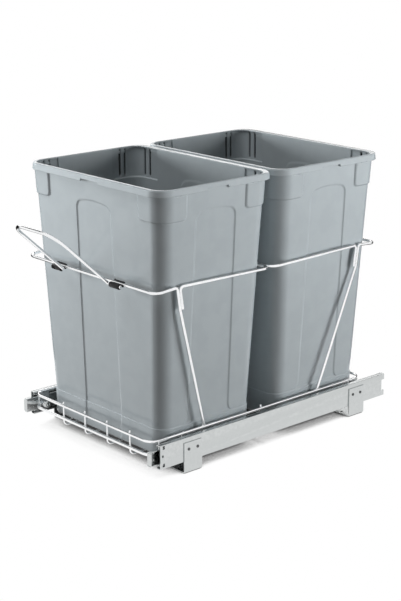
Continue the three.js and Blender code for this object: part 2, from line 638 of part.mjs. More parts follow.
const frontJointY = hoopFrontY + JOINT_INSET;
const rearJointY = hoopRearY - JOINT_INSET;
const frontFootY = frameFrontY + STRUT_FOOT_INSET;
const rearFootY = frameRearY - STRUT_FOOT_INSET;
place(unit, "front_hoop_front_half", halfHoop(hoopFrontY, frontJointY, -1, 1, frontFootY), chrome());
place(unit, "front_hoop_rear_half", halfHoop(frontMiddleCrossY, frontJointY, 1, 1), chrome());
place(unit, "rear_hoop_front_half", halfHoop(rearMiddleCrossY, rearJointY, -1, -1), chrome());
place(unit, "rear_hoop_rear_half", halfHoop(hoopRearY, rearJointY, 1, -1, rearFootY), chrome());

// ---------- handle and its clips ----------
const clipInnerX = HANDLE_HALF_WIDTH + HANDLE_FOOT_BEND + CLIP_END_PLAY;

/** An S-shaped strip: one hook holds the hoop wire from behind, the other holds the handle's foot. */
function handleClip() {
  const towardsPivot = Math.PI + PIVOT_SLOPE;
  const hoop = (radius, from, to) => [hoopFrontY, hoopCrossZ, radius, from, to, to < from];
  const foot = (radius, from, to) => [pivotY, pivotZ, radius, from, to, to < from];
  const outline = new THREE.Shape();
  outline.absarc(...hoop(hoopGrip + CLIP_WALL, CLIP_UPPER_END, towardsPivot - 2 * Math.PI));
  outline.absarc(...foot(footGrip, PIVOT_SLOPE, CLIP_LOWER_END));
  outline.absarc(...foot(footGrip + CLIP_WALL, CLIP_LOWER_END, PIVOT_SLOPE));
  outline.absarc(...hoop(hoopGrip, towardsPivot - 2 * Math.PI, CLIP_UPPER_END));
  return new THREE.ExtrudeGeometry(outline, { depth: CLIP_LENGTH, bevelEnabled: false, curveSegments: 8 })
    .rotateX(Math.PI / 2)
    .rotateZ(Math.PI / 2)
    .translate(clipInnerX, 0, 0);
}

for (const [side, sign] of [["right", 1], ["left", -1]]) {
  const half = new THREE.Group();
  half.scale.x = sign;
  unit.add(half);
  place(half, `${side}_handle_clip`, handleClip(), clipBlack());
}

function bailHandle() {
  const out = clipInnerX + CLIP_LENGTH + PIVOT_STICK_OUT;
  const [foot, corner] = [at(HANDLE_HALF_WIDTH, 0, 0), at(HANDLE_HALF_WIDTH, 0, HANDLE_REACH)];
  const corners = mirrored([at(out, 0, 0), foot, corner]);
  const radii = [HANDLE_FOOT_BEND, HANDLE_BEND, HANDLE_BEND, HANDLE_FOOT_BEND];
  return wire(HANDLE_WIRE, new WirePath(corners, radii, 5));
}

const handle = place(unit, "bail_handle", bailHandle(), chrome());
handle.rotation.x = Math.PI / 2 - HANDLE_ANGLE;
handle.position.set(0, pivotY, pivotZ);

// ---------- bins ----------
/** The arched outline of a panel, in width and height above the base. */
function panelOutline(half) {
  const crown = bodyHeight - PANEL_CROWN;
  const shoulder = crown - PANEL_RISE;
  const outline = new THREE.Shape();
  outline.moveTo(-half - PANEL_FLARE, PLINTH_HEIGHT);
  outline.lineTo(half + PANEL_FLARE, PLINTH_HEIGHT);
  outline.lineTo(half, shoulder - PANEL_CORNER);
  outline.quadraticCurveTo(half, shoulder, half - PANEL_CORNER, shoulder + PANEL_RISE / 3);
  outline.quadraticCurveTo(0, crown + PANEL_RISE / 3, -half + PANEL_CORNER, shoulder + PANEL_RISE / 3);
  outline.quadraticCurveTo(-half, shoulder, -half, shoulder - PANEL_CORNER);
  return outline;
}

/** Four cutters, one for each side: an arched bar less what lies under the panel's floor. */
function panelCutters() {
  const options = { depth: rimWidth, bevelEnabled: false, curveSegments: 3 };
  const inner = draftedBlock(bodyHalfX - PANEL_DEPTH, bodyHalfY - PANEL_DEPTH, BODY_CORNER, 0, bodyHeight);
  return [0, 1, 2, 3].map((k) => {
    const outline = panelOutline(k % 2 ? SIDE_PANEL_HALF_WIDTH : PANEL_HALF_WIDTH);
    const bar = new THREE.ExtrudeGeometry(outline, options).rotateX(Math.PI / 2);
    return cut(bar.rotateZ((k * Math.PI) / 2), inner);
  });
}

/** Four pads that stand out of the corners just below the rim. */
function cornerPads() {
  const foot = bodyHeight - PAD_HEIGHT;
  const halfX = bodyHalfX + DRAFT_X * foot + PAD_STEP;
  const halfY = bodyHalfY + DRAFT_Y * foot + PAD_STEP;
  const corner = BODY_CORNER * (halfX / bodyHalfX);
  const band = draftedBlock(halfX, halfY, corner, foot, PAD_HEIGHT + RIM_HEIGHT / 2);
  const innerX = halfX - PAD_WIDTH;
  const innerY = halfY - PAD_WIDTH;
  return [[1, 1], [-1, 1], [-1, -1], [1, -1]].map(([sx, sy]) => {
    const near = [Math.min(sx * innerX, sx * 2 * halfX), Math.min(sy * innerY, sy * 2 * halfY), 0];
    const far = [Math.max(sx * innerX, sx * 2 * halfX), Math.max(sy * innerY, sy * 2 * halfY), BIN_HEIGHT];
    return common(band, block(near, far));
  });
}

/** Cutters that take the lower edge off the rim's skirt in the middle of each side. */
function lipNotches() {
  const half = LIP_NOTCH_WIDTH / 2;
  const skirtX = rimWidth / 2 - RIM_WALL - SEAT_GAP;
  const skirtY = bodyHalfY + DRAFT_Y * bodyHeight + SEAT_GAP;
  const [low, high] = [bodyHeight - LIP_NOTCH_HEIGHT, bodyHeight + LIP_NOTCH_HEIGHT];
  return [-1, 1].flatMap((s) => {
    const x = [s * skirtX, s * 2 * skirtX].sort((a, b) => a - b);
    const y = [s * skirtY, s * 2 * skirtY].sort((a, b) => a - b);
    return [block([x[0], -half, low], [x[1], half, high]), block([-half, y[0], low], [half, y[1], high])];
  });
}

/** The rim: a flange turned down to a skirt all round, open below. */
function rim() {
  const layer = (inset, z0, height) => {
    const [halfX, halfY] = [rimWidth / 2 - inset, rimDepth / 2 - inset];
    return draftedBlock(halfX, halfY, RIM_CORNER - inset, z0, height, 0, 0).translate(0, rimShift, 0);
  };
  const hollow = layer(RIM_WALL, bodyHeight - 1, RIM_HEIGHT + 1 - RIM_WALL);
  return cut(layer(0, bodyHeight, RIM_HEIGHT), hollow, ...lipNotches());
}

/** A tapered bin with a plinth, arched panels, corner pads and a turned-over rim. */
function bin() {
  const body = draftedBlock(bodyHalfX, bodyHalfY, BODY_CORNER, 0, BIN_HEIGHT - RIM_WALL / 2);
  const foot = draftedBlock(
    plinthHalfX - PLINTH_CHAMFER,
    plinthHalfY - PLINTH_CHAMFER,
    BODY_CORNER - PLINTH_CHAMFER / 2,
    0,
    PLINTH_CHAMFER,
    1,
    1,
  );
  const wallHeight = PLINTH_HEIGHT - PLINTH_CHAMFER;
  const plinth = draftedBlock(plinthHalfX, plinthHalfY, BODY_CORNER, PLINTH_CHAMFER, wallHeight, 0, 0);
  const baseEdge = block([-rimWidth, -rimDepth, -1], [rimWidth, rimDepth, PLINTH_CHAMFER]);
  const upper = cut(body, baseEdge, ...panelCutters());
  const cavity = draftedBlock(
    bodyHalfX + DRAFT_X * BIN_FLOOR - BIN_WALL,
    bodyHalfY + DRAFT_Y * BIN_FLOOR - BIN_WALL,
    BODY_CORNER - BIN_WALL,
    BIN_FLOOR,
    BIN_HEIGHT,
  );
  return cut(join(upper, foot, plinth, rim(), ...cornerPads()), cavity);
}

for (const [name, y] of [["front_bin", frontBinY], ["rear_bin", rearBinY]]) {
  place(unit, name, bin(), binGrey()).position.set(0, y, binZ);
}

// ---------- centre the unit on its footprint ----------
const extent = new THREE.Box3().setFromObject(unit, true);
unit.position.y = -(extent.min.y + extent.max.y) / 2;

export default unit;
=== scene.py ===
"""A pull-out waste unit: two grey bins in a chromed wire basket on a pair of floor-mounted ball slides.

Sizes are in millimetres in the unit's own frame: X across, Y from front to rear, Z up from the cabinet
floor. The studio's places and sizes are in metres.
"""

import logging
from collections.abc import Callable
from dataclasses import dataclass, field
from enum import Enum

import bmesh
import bpy
import numpy as np
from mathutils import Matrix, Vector


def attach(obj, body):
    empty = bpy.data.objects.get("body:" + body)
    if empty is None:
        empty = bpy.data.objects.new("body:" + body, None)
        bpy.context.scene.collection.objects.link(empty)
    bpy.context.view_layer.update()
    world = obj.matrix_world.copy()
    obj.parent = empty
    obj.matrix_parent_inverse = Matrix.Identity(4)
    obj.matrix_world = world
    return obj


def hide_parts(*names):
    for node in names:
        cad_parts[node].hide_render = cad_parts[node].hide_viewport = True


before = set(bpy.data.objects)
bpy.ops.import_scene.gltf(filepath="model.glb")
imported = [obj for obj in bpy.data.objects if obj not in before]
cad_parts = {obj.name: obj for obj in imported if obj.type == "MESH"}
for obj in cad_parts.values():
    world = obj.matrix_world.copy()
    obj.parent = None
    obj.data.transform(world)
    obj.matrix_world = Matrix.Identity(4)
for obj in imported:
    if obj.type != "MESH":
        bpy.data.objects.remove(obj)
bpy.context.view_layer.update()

MM = 0.001
LOG = logging.getLogger("waste_unit")

Pair = tuple[float, float]
Point = tuple[float, float, float]
Value = float | bpy.types.NodeSocket

RIGHT_ANGLE = np.pi / 2
SKEW_WAY = (0.53, 0.61, 0.59)  # a direction that no wire of the unit takes
WIRE_SIDES = 16
END_ROUND = 0.16  # how far a wire's cut end is rounded off, in diameters
END_RINGS = 4
BEAD_SIDES, BEAD_RINGS, BEAD_TILT = 10, 7, 1.35
TURNED_SIDES = 28
HEXAGON_SIDES = 48  # points round a six-sided piece, eight on each flat


class Side(Enum):
    """The two sides of the unit, with the sign of X on each."""

    RIGHT = 1
    LEFT = -1

    def named(self, piece: str) -> str:
        """The name of this side's piece."""
        return f"{self.name.lower()}_{piece}"


class End(Enum):
    """The two ends of the unit."""

    FRONT = "front"
    REAR = "rear"


class Slot(Enum):
    """The material slots of the unit."""

    ZINC = "zinc"
    CHROME = "chrome_wire"
    GREY = "grey_plastic"
    BLACK = "black_plastic"
    RUBBER = "bumper_rubber"


# ---------- surfaces ----------
@dataclass
class Surface:
    """Points in millimetres, the four- and three-sided faces between them, and masks on the points."""

    points: np.ndarray
    quads: np.ndarray = field(default_factory=lambda: np.empty((0, 4), int))
    tris: np.ndarray = field(default_factory=lambda: np.empty((0, 3), int))
    masks: dict[str, np.ndarray] = field(default_factory=dict)

    def outward(self) -> "Surface":
        """Turns all faces over if the volume, the sum of a . (b x c) / 6 over triangles, is negative.

        Returns:
            The surface itself.
        """
        halves = [self.tris, self.quads[:, [0, 1, 2]], self.quads[:, [0, 2, 3]]]
        a, b, c = (self.points[np.vstack(halves)[:, k]] for k in range(3))
        if np.einsum("ij,ij->", a, np.cross(b, c)) < 0:
            self.quads, self.tris = self.quads[:, ::-1], self.tris[:, ::-1]
        return self


def joined(parts: list[Surface]) -> Surface:
    """Several closed surfaces as one.

    Args:
        parts: the surfaces, each turned outward first.
    Returns:
        One surface with the faces' point numbers moved on by the points before them.
    """
    parts = [part.outward() for part in parts]
    starts = np.cumsum([0] + [len(part.points) for part in parts[:-1]])
    return Surface(
        np.vstack([part.points for part in parts]),
        np.vstack([part.quads + start for part, start in zip(parts, starts)]),
        np.vstack([part.tris + start for part, start in zip(parts, starts)]),
    )


def skin(rings: np.ndarray, looped: bool = False) -> Surface:
    """A tube through rings of points: the face (i, j) joins points j and j + 1 of rings i and i + 1.

    Args:
        rings: points, rings by points in a ring by 3.
        looped: the last ring joins the first; otherwise a fan about its mean point closes each end ring.
    Returns:
        The closed surface.
    """
    count = rings.shape[0] * rings.shape[1]
    index = np.arange(count).reshape(rings.shape[:2])
    if looped:
        index = np.vstack([index, index[:1]])
    beside = np.roll(index, -1, axis=1)
    quads = np.stack([index[:-1], beside[:-1], beside[1:], index[1:]], axis=-1).reshape(-1, 4)
    points = rings.reshape(-1, 3)
    if looped:
        return Surface(points, quads).outward()
    poles = rings[[0, -1]].mean(axis=1)
    first, last = np.full(rings.shape[1], count), np.full(rings.shape[1], count + 1)
    tris = np.vstack([
        np.stack([beside[0], index[0], first], 1),
        np.stack([index[-1], beside[-1], last], 1),
    ])
    return Surface(np.vstack([points, poles]), quads, tris).outward()


def sheet(grid: np.ndarray) -> Surface:
    """An open sheet over a grid of points: the face (i, j) joins four neighbours.

    Args:
        grid: points, rows by columns by 3.
    Returns:
        The surface, facing the way from rows across columns.
    """
    index = np.arange(grid.shape[0] * grid.shape[1]).reshape(grid.shape[:2])
    quads = np.stack([index[:-1, :-1], index[:-1, 1:], index[1:, 1:], index[1:, :-1]], -1)
    return Surface(grid.reshape(-1, 3), quads.reshape(-1, 4))


def smooth_step(low: float, high: float, value: np.ndarray) -> np.ndarray:
    """The curve 3t^2 - 2t^3 of t, which goes from 0 at low to 1 at high."""
    t = np.clip((value - low) / (high - low), 0, 1)
    return t * t * (3 - 2 * t)


def rounded_corner(across: np.ndarray, along: np.ndarray, radius: float) -> np.ndarray:
    """Signed distance to a quarter plane with a rounded corner.

    Args:
        across, along: signed distances to its two edges, positive outside.
        radius: of the corner.
    Returns:
        |max((across, along) + radius, 0)| + min(max(across, along) + radius, 0) - radius.
    """
    outer = np.hypot(np.maximum(across + radius, 0), np.maximum(along + radius, 0))
    return outer + np.minimum(np.maximum(across, along) + radius, 0) - radius


def bent_line(corners: list[Point], bends: list[float], steps: int = 9) -> np.ndarray:
    """The centre line of a bent wire.

    Args:
        corners: its two ends and the corners between them.
        bends: the radius of the bend at each corner.
        steps: points in each bend, less one.
    Returns:
        The ends with an arc at each corner: centre - r (u cos a - v sin a), where u points from the corner
        to the centre, v from the way in to the way out, and a runs over half the turn on each side.
    """
    corners = np.asarray(corners, float)
    line = [corners[:1]]
    for before, corner, after, radius in zip(corners, corners[1:], corners[2:], bends):
        back, on = before - corner, after - corner
        back, on = back / np.linalg.norm(back), on / np.linalg.norm(on)
        turn = (np.pi - np.arccos(np.clip(back @ on, -1, 1))) / 2
        inward = (back + on) / np.linalg.norm(back + on)
        forward = (on - back) / np.linalg.norm(on - back)
        angle = np.linspace(-turn, turn, steps + 1)[:, None]
        centre = corner + inward * radius / np.cos(turn)
        line.append(centre - radius * (inward * np.cos(angle) - forward * np.sin(angle)))
    line.append(corners[-1:])
    return np.vstack(line)


def mirrored(points: list[Point]) -> list[Point]:
    """The points, then their mirror images in X in the opposite order."""
    return points + [(-x, y, z) for x, y, z in reversed(points)]


def unit(vectors: np.ndarray) -> np.ndarray:
    """Each row of vectors at length 1."""
    return vectors / np.linalg.norm(vectors, axis=1, keepdims=True)


def section_frames(line: np.ndarray, guide: Point, looped: bool) -> tuple[np.ndarray, np.ndarray, np.ndarray]:
    """The way of a line and two directions square to it, at each of its points.

    Args:
        line: points of the line.
        guide: a direction that the line never takes.
        looped: the line closes on itself.
    Returns:
        The tangent t, the mean of the unit steps before and after a point, then n = t x guide and
        b = t x n, all of length 1.
    """
    steps = np.diff(line, axis=0)
    if looped:
        steps = np.vstack([steps, line[:1] - line[-1:]])
    steps = unit(steps)
    first, last = (steps[-1:], steps[:1]) if looped else (steps[:1], steps[-1:])
    count = len(line)
    tangent = unit(np.vstack([first, steps])[:count] + np.vstack([steps, last])[:count])
    normal = unit(np.cross(tangent, guide))
    return tangent, normal, np.cross(tangent, normal)


def full_turn(steps: int) -> np.ndarray:
    """Angles evenly spaced round a circle."""
    return np.linspace(0, 2 * np.pi, steps, endpoint=False)


def quarter_turn(steps: int) -> np.ndarray:
    """Angles from 0 to 90 degrees, in radians, one more than the steps between them."""
    return np.linspace(0, RIGHT_ANGLE, steps + 1)


def round_wire(
    line: np.ndarray,
    diameter: float,
    looped: bool = False,
    sides: int = WIRE_SIDES,
    guide: Point = SKEW_WAY,
) -> Surface:
    """A round wire along a line, its cut ends rounded off a little.

    Args:
        line: points of the centre line.
        diameter: of the wire.
        looped: the wire closes on itself.
        sides: points round the wire.
        guide: a direction that the line never takes.
    Returns:
        Rings p + r (n cos a + b sin a). At an end they stand e (1 - cos c) in from it, with the radius
        r - e (1 - sin c).
    """
    tangent, normal, binormal = section_frames(line, guide, looped)
    radii = np.full(len(line), diameter / 2)
    if not looped:
        edge = END_ROUND * diameter
        c = quarter_turn(END_RINGS - 1)[:, None]
        start = line[0] + tangent[0] * edge * (1 - np.cos(c))
        finish = line[-1] - tangent[-1] * edge * (1 - np.cos(c[::-1]))
        line = np.vstack([start, line[1:-1], finish])
        shrunk = diameter / 2 - edge * (1 - np.sin(c[:, 0]))
        radii = np.concatenate([shrunk, radii[1:-1], shrunk[::-1]])
        repeats = np.ones(len(normal), int)
        repeats[[0, -1]] = END_RINGS
        normal, binormal = np.repeat(normal, repeats, 0), np.repeat(binormal, repeats, 0)
    angle = full_turn(sides)[None, :, None]
    spread = normal[:, None] * np.cos(angle) + binormal[:, None] * np.sin(angle)
    return skin(line[:, None] + radii[:, None, None] * spread, looped)


def bead(centre: Point, half: Point) -> Surface:
    """A small weld bead.

    Args:
        centre: of the bead.
        half: its half sizes along X, Y and Z.
    Returns:
        The ellipsoid centre + half * (cos u cos v, sin u cos v, sin v), cut off flat above and below.
    """
    u = full_turn(BEAD_SIDES)[None]
    v = np.linspace(-BEAD_TILT, BEAD_TILT, BEAD_RINGS)[:, None]
    ball = np.stack([np.cos(u) * np.cos(v), np.sin(u) * np.cos(v), np.sin(v) + 0 * u], -1)
    return skin(np.asarray(centre) + ball * np.asarray(half))


@dataclass(frozen=True)
class Spindle:
    """A line along X about which small pieces are turned: its Y, its Z and the sign of X."""

    y: float
    z: float
    sign: int

    def rings(self, x: np.ndarray, radius: np.ndarray, angle: np.ndarray) -> np.ndarray:
        """Rings about the line.

        Args:
            x: place of each ring, as a column.
            radius: of each ring, as a column, or of each of its points.
            angle: of the points, as a row, from the top towards the rear.
        Returns:
            Points (sign x, y + r sin a, z + r cos a), rings by points by 3.
        """
        across, up = radius * np.sin(angle), radius * np.cos(angle)
        return np.stack([self.sign * x + 0 * angle, self.y + across, self.z + up], -1)

    def turned(self, profile: tuple[Pair, ...]) -> Surface:
        """A round piece from (x, radius) pairs, closed at both ends."""
        return skin(self.rings(*columns(profile), full_turn(TURNED_SIDES)[None]))

    def hexagonal(self, profile: tuple[Pair, ...], across: float) -> Surface:
        """A six-sided piece, its corners turned off.

        Args:
            profile: (x, greatest radius) pairs from one end to the other.
            across: distance between opposite flats.
        Returns:
            The piece, closed at both ends.
        """
        x, limit = columns(profile)
        angle = full_turn(HEXAGON_SIDES)[None]
        return skin(self.rings(x, np.minimum(limit, hexagon(across, angle)), angle))


def columns(pairs: tuple[Pair, ...]) -> tuple[np.ndarray, np.ndarray]:
    """The first and the second numbers of some pairs, each as a column."""
    first, second = zip(*pairs)
    return np.array(first)[:, None], np.array(second)[:, None]


def hexagon(across: float, angle: np.ndarray) -> np.ndarray:
    """A hexagon's radius, across / (2 cos((a mod 60) - 30)) at a degrees, from the width on its flats."""
    return across / 2 / np.cos(np.mod(angle, np.pi / 3) - np.pi / 6)


# ---------- objects ----------
def linked(name: str, data: bpy.types.ID) -> bpy.types.Object:
    """Adds an object with this mesh, lamp or camera to the scene, at the origin.

    Args:
        name: of the object.
        data: what it shows.
    Returns:
        The object.
    """
    thing = bpy.data.objects.new(name, data)
    bpy.context.scene.collection.objects.link(thing)
    return thing


def build_object(name: str, surface: Surface) -> bpy.types.Object:
    """A smooth-shaded object from a surface, its place in its mesh.

    Args:
        name: of the object and its mesh.
        surface: points in millimetres and faces.
    Returns:
        The object, at the origin.
    """
    mesh = bpy.data.meshes.new(name)
    points, quads, tris = surface.points * MM, surface.quads, surface.tris
    corners = np.concatenate([quads.ravel(), tris.ravel()])
    starts = np.concatenate([np.arange(len(quads)) * 4, quads.size + np.arange(len(tris)) * 3])
    mesh.vertices.add(len(points))
    mesh.vertices.foreach_set("co", points.astype(np.float32).ravel())
    mesh.loops.add(len(corners))
    mesh.loops.foreach_set("vertex_index", corners.astype(np.int32))
    mesh.polygons.add(len(starts))
    mesh.polygons.foreach_set("loop_start", starts.astype(np.int32))
    mesh.polygons.foreach_set("use_smooth", np.ones(len(starts), bool))
    for key, values in surface.masks.items():
        mesh.attributes.new(key, "FLOAT", "POINT").data.foreach_set("value", values.astype(np.float32))
    mesh.update(calc_edges=True)
    return linked(name, mesh)


def dress(piece: bpy.types.Object, finish: "Finish", body: str, *nodes: str) -> None:
    """Gives a piece its finish and the body it rides on, lets it stand for its nodes, and reports it.

    Args:
        piece: the object.
        finish: of its whole surface.
        body: that it moves with.
        nodes: the solids that it stands for, if any.
    """
    piece.data.materials.clear()
    piece.data.materials.append(finish.material())
    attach(piece, body)
    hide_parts(*nodes)
    LOG.info("%s: %d faces, rides on %s", piece.name, len(piece.data.polygons), body)


def make(name: str, surface: Surface, finish: "Finish", body: str, *nodes: str) -> None:
    """Builds a piece from its surface and dresses it."""
    dress(build_object(name, surface), finish, body, *nodes)


class Pressing:
    """A pressed or moulded piece from its plain solid, its edges eased and its long corners rolled."""

    same_point = 2e-6  # metres
    same_plane = 0.02  # radians
    sharp = 0.6  # radians
    long_edge = 0.02  # metres
    straight = 1.001  # length of an edge over its reach along Y
    on_box = 1e-4  # metres in from the box, at most, for an outer corner
    inside = (5e-4, 2e-3)  # metres in from the box for an inner corner, a wall's thickness
    rolls = (1.0, 0.3)  # weight of an outer and of an inner corner
    roll_segments, ease_segments = 5, 2

    def __init__(self, name: str, node: str, edge: float, corner: float = 0) -> None:
        """Builds the piece, with its rounding as modifiers.

        Args:
            name: of the new piece.
            node: the plain solid, whose triangles are merged in a copy.
            edge: radius on every sharp edge.
            corner: radius rolled into the long outer corners, or 0.
        """
        mesh = bmesh.new()
        mesh.from_mesh(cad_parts[node].data)
        bmesh.ops.remove_doubles(mesh, verts=mesh.verts, dist=self.same_point)
        bmesh.ops.dissolve_limit(mesh, angle_limit=self.same_plane, verts=mesh.verts, edges=mesh.edges)
        if corner:
            self._weigh_long_edges(mesh)
        data = bpy.data.meshes.new(name)
        mesh.to_mesh(data)
        mesh.free()
        data.polygons.foreach_set("use_smooth", np.ones(len(data.polygons), bool))
        self.piece = linked(name, data)
        if corner:
            roll = self.piece.modifiers.new("rolled corners", "BEVEL")
            roll.limit_method, roll.width, roll.segments = "WEIGHT", corner * MM, self.roll_segments
        ease = self.piece.modifiers.new("eased edges", "BEVEL")
        ease.limit_method, ease.angle_limit = "ANGLE", self.sharp
        ease.width, ease.segments = edge * MM, self.ease_segments
        ease.use_clamp_overlap = True
        self.piece.modifiers.new("even shading", "WEIGHTED_NORMAL").keep_sharp = True

    def _weigh_long_edges(self, mesh: bmesh.types.BMesh) -> None:
        """Gives a bevel weight to the long edges along Y at the corners of the mesh's box.

        Args:
            mesh: whose outer corners, and those a wall's thickness inside them, are weighed.
        """
        layer = mesh.edges.layers.float.new("bevel_weight_edge")
        corners = np.array([vertex.co for vertex in mesh.verts])
        low, high = corners.min(0), corners.max(0)
        for edge in mesh.edges:
            start, stop = (vertex.co for vertex in edge.verts)
            way = stop - start
            reach = abs(way.y)
            if reach < self.long_edge or way.length > reach * self.straight or len(edge.link_faces) != 2:
                continue
            place = np.array((start + stop) / 2)
            inset = np.minimum(place - low, high - place)[[0, 2]]
            if inset.max() < self.on_box:
                edge[layer] = self.rolls[0]
            elif inset.min() > self.inside[0] and inset.max() < self.inside[1]:
                edge[layer] = self.rolls[1]


# ---------- shader building ----------
class Board:
    """A node tree with short calls to add nodes and join them."""

    def __init__(self, tree: bpy.types.NodeTree) -> None:
        """Takes the tree and empties it."""
        self.tree = tree
        tree.nodes.clear()

    @classmethod
    def of(cls, owner: bpy.types.Material | bpy.types.World) -> "Board":
        """The board of a material or a world."""
        owner.use_nodes = True
        return cls(owner.node_tree)

    def add(self, kind: str, inputs: dict | None = None, **settings: object) -> bpy.types.Node:
        """Adds a node.

        Args:
            kind: type name after ShaderNode, or a whole type name.
            inputs: a value or another node's output for each named or numbered input.
            settings: properties of the node.
        Returns:
            The node.
        """
        node = self.tree.nodes.new(kind if kind.startswith("Node") else "ShaderNode" + kind)
        for key, value in settings.items():
            setattr(node, key, value)
        for key, value in (inputs or {}).items():
            if isinstance(value, bpy.types.NodeSocket):
                self.tree.links.new(value, node.inputs[key])
            else:
                node.inputs[key].default_value = value
        return node

    def math(self, operation: str, first: Value, second: Value = 0.0, clamp: bool = False) -> Value:
        """The result of one sum on two values or outputs."""
        return self.add("Math", {0: first, 1: second}, operation=operation, use_clamp=clamp).outputs[0]

    def ramp(self, value: Value, low: float, high: float, to_low: float = 0, to_high: float = 1) -> Value:
        """The value carried smoothly from one range to another."""
        inputs = {"Value": value, "From Min": low, "From Max": high, "To Min": to_low, "To Max": to_high}
        return self.add("MapRange", inputs, interpolation_type="SMOOTHSTEP").outputs[0]

    def noise(self, place: Value, scale: Value, detail: float, distortion: float = 0.0) -> Value:
        """A noise between 0 and 1 over a place vector."""
        inputs = {"Vector": place, "Scale": scale, "Detail": detail, "Distortion": distortion}
        return self.add("TexNoise", inputs).outputs[0]

    def blend(self, factor: Value, first: Value | tuple, second: Value | tuple) -> Value:
        """A mix of two colours."""
        return self.add("Mix", {0: factor, 6: first, 7: second}, data_type="RGBA").outputs[2]

    def group(self, tree: bpy.types.NodeTree, inputs: dict[str, Value | Point]) -> bpy.types.Node:
        """A node group with its values."""
        return self.add("Group", inputs, node_tree=tree)


class Effects:
    """The surface effects that several finishes share, each a node group built once."""

    clouds_over_grain = 50.0  # width of the clouds over that of the grain
    _built: dict[str, bpy.types.NodeTree] = {}

    @classmethod
    def _tree(cls, name: str, inputs: dict[str, float | None], outputs: list[str]) -> tuple[Board, dict]:
        """A new group with named sockets.

        Args:
            name: of the group.
            inputs: a default for each number, or None for a place vector.
            outputs: names of the numbers that come out.
        Returns:
            The board of the group and the outputs of its input node by name.
        """
        tree = bpy.data.node_groups.new(name, "ShaderNodeTree")
        cls._built[name] = tree
        board = Board(tree)
        for key, default in inputs.items():
            kind = "NodeSocketVector" if default is None else "NodeSocketFloat"
            socket = tree.interface.new_socket(name=key, in_out="INPUT", socket_type=kind)
            if default is not None:
                socket.default_value = default
        for key in outputs:
            tree.interface.new_socket(name=key, in_out="OUTPUT", socket_type="NodeSocketFloat")
        entry = board.add("NodeGroupInput")
        return board, {key: entry.outputs[key] for key in inputs}

    @classmethod
    def _mask(cls, name: str, amount: float, drawn: Callable[[Board, Value], Value]) -> bpy.types.NodeTree:
        """A group that puts out one mask.

        Args:
            name: of the group.
            amount: default strength of the mask.
            drawn: draws the mask on a board from the place vector.
        Returns:
            The group, built the first time, whose mask is what was drawn times the amount.
        """
        if name not in cls._built:
            board, given = cls._tree(name, {"Place": None, "Amount": amount}, ["Mask"])
            mask = board.math("MULTIPLY", drawn(board, given["Place"]), given["Amount"])
            board.add("NodeGroupOutput", {"Mask": mask})
        return cls._built[name]

    @classmethod
    def grain(cls) -> bpy.types.NodeTree:
        """Fine moulded or plated grain: noise of the given fineness, and slow clouds much wider."""
        name = "fine grain"
        if name not in cls._built:
            board, given = cls._tree(name, {"Place": None, "Fineness": 900.0}, ["Height", "Clouds"])
            place, fineness = given["Place"], given["Fineness"]
            slow = board.noise(place, board.math("DIVIDE", fineness, cls.clouds_over_grain), 3.0)
            outputs = {"Height": board.noise(place, fineness, 5.0), "Clouds": board.ramp(slow, 0.36, 0.64)}
            board.add("NodeGroupOutput", outputs)
        return cls._built[name]

    @classmethod
    def edge_wear(cls) -> bpy.types.NodeTree:
        """Wear on raised edges: pointiness over a threshold, broken up by noise."""

        def drawn(board: Board, place: Value) -> Value:
            """The wear over a place vector."""
            point = board.ramp(board.add("NewGeometry").outputs["Pointiness"], 0.515, 0.58)
            return board.math("MULTIPLY", point, board.ramp(board.noise(place, 160.0, 4.0), 0.35, 0.65))

        return cls._mask("edge wear", 0.5, drawn)

    @classmethod
    def marks(cls) -> bpy.types.NodeTree:
        """Handling marks: hairlines where a warped noise crosses its middle, in patches of a wider one."""

        def drawn(board: Board, place: Value) -> Value:
            """The marks over a place vector."""
            off_middle = board.math("SUBTRACT", board.noise(place, 60.0, 8.0, 1.4), 0.5)
            hair = board.ramp(board.math("ABSOLUTE", off_middle), 0.02, 0.0)
            return board.math("MULTIPLY", hair, board.ramp(board.noise(place, 9.0, 2.0), 0.45, 0.7))

        return cls._mask("handling marks", 0.5, drawn)

    @classmethod
    def dust(cls) -> bpy.types.NodeTree:
        """Dust on faces that look up: the normal's Z over a threshold, broken up by noise."""

        def drawn(board: Board, place: Value) -> Value:
            """The dust over a place vector."""
            normal = board.add("SeparateXYZ", {0: board.add("NewGeometry").outputs["Normal"]})
            up = board.ramp(normal.outputs[2], 0.55, 0.98)
            return board.math("MULTIPLY", up, board.ramp(board.noise(place, 240.0, 6.0), 0.4, 0.7))

        return cls._mask("settled dust", 0.2, drawn)


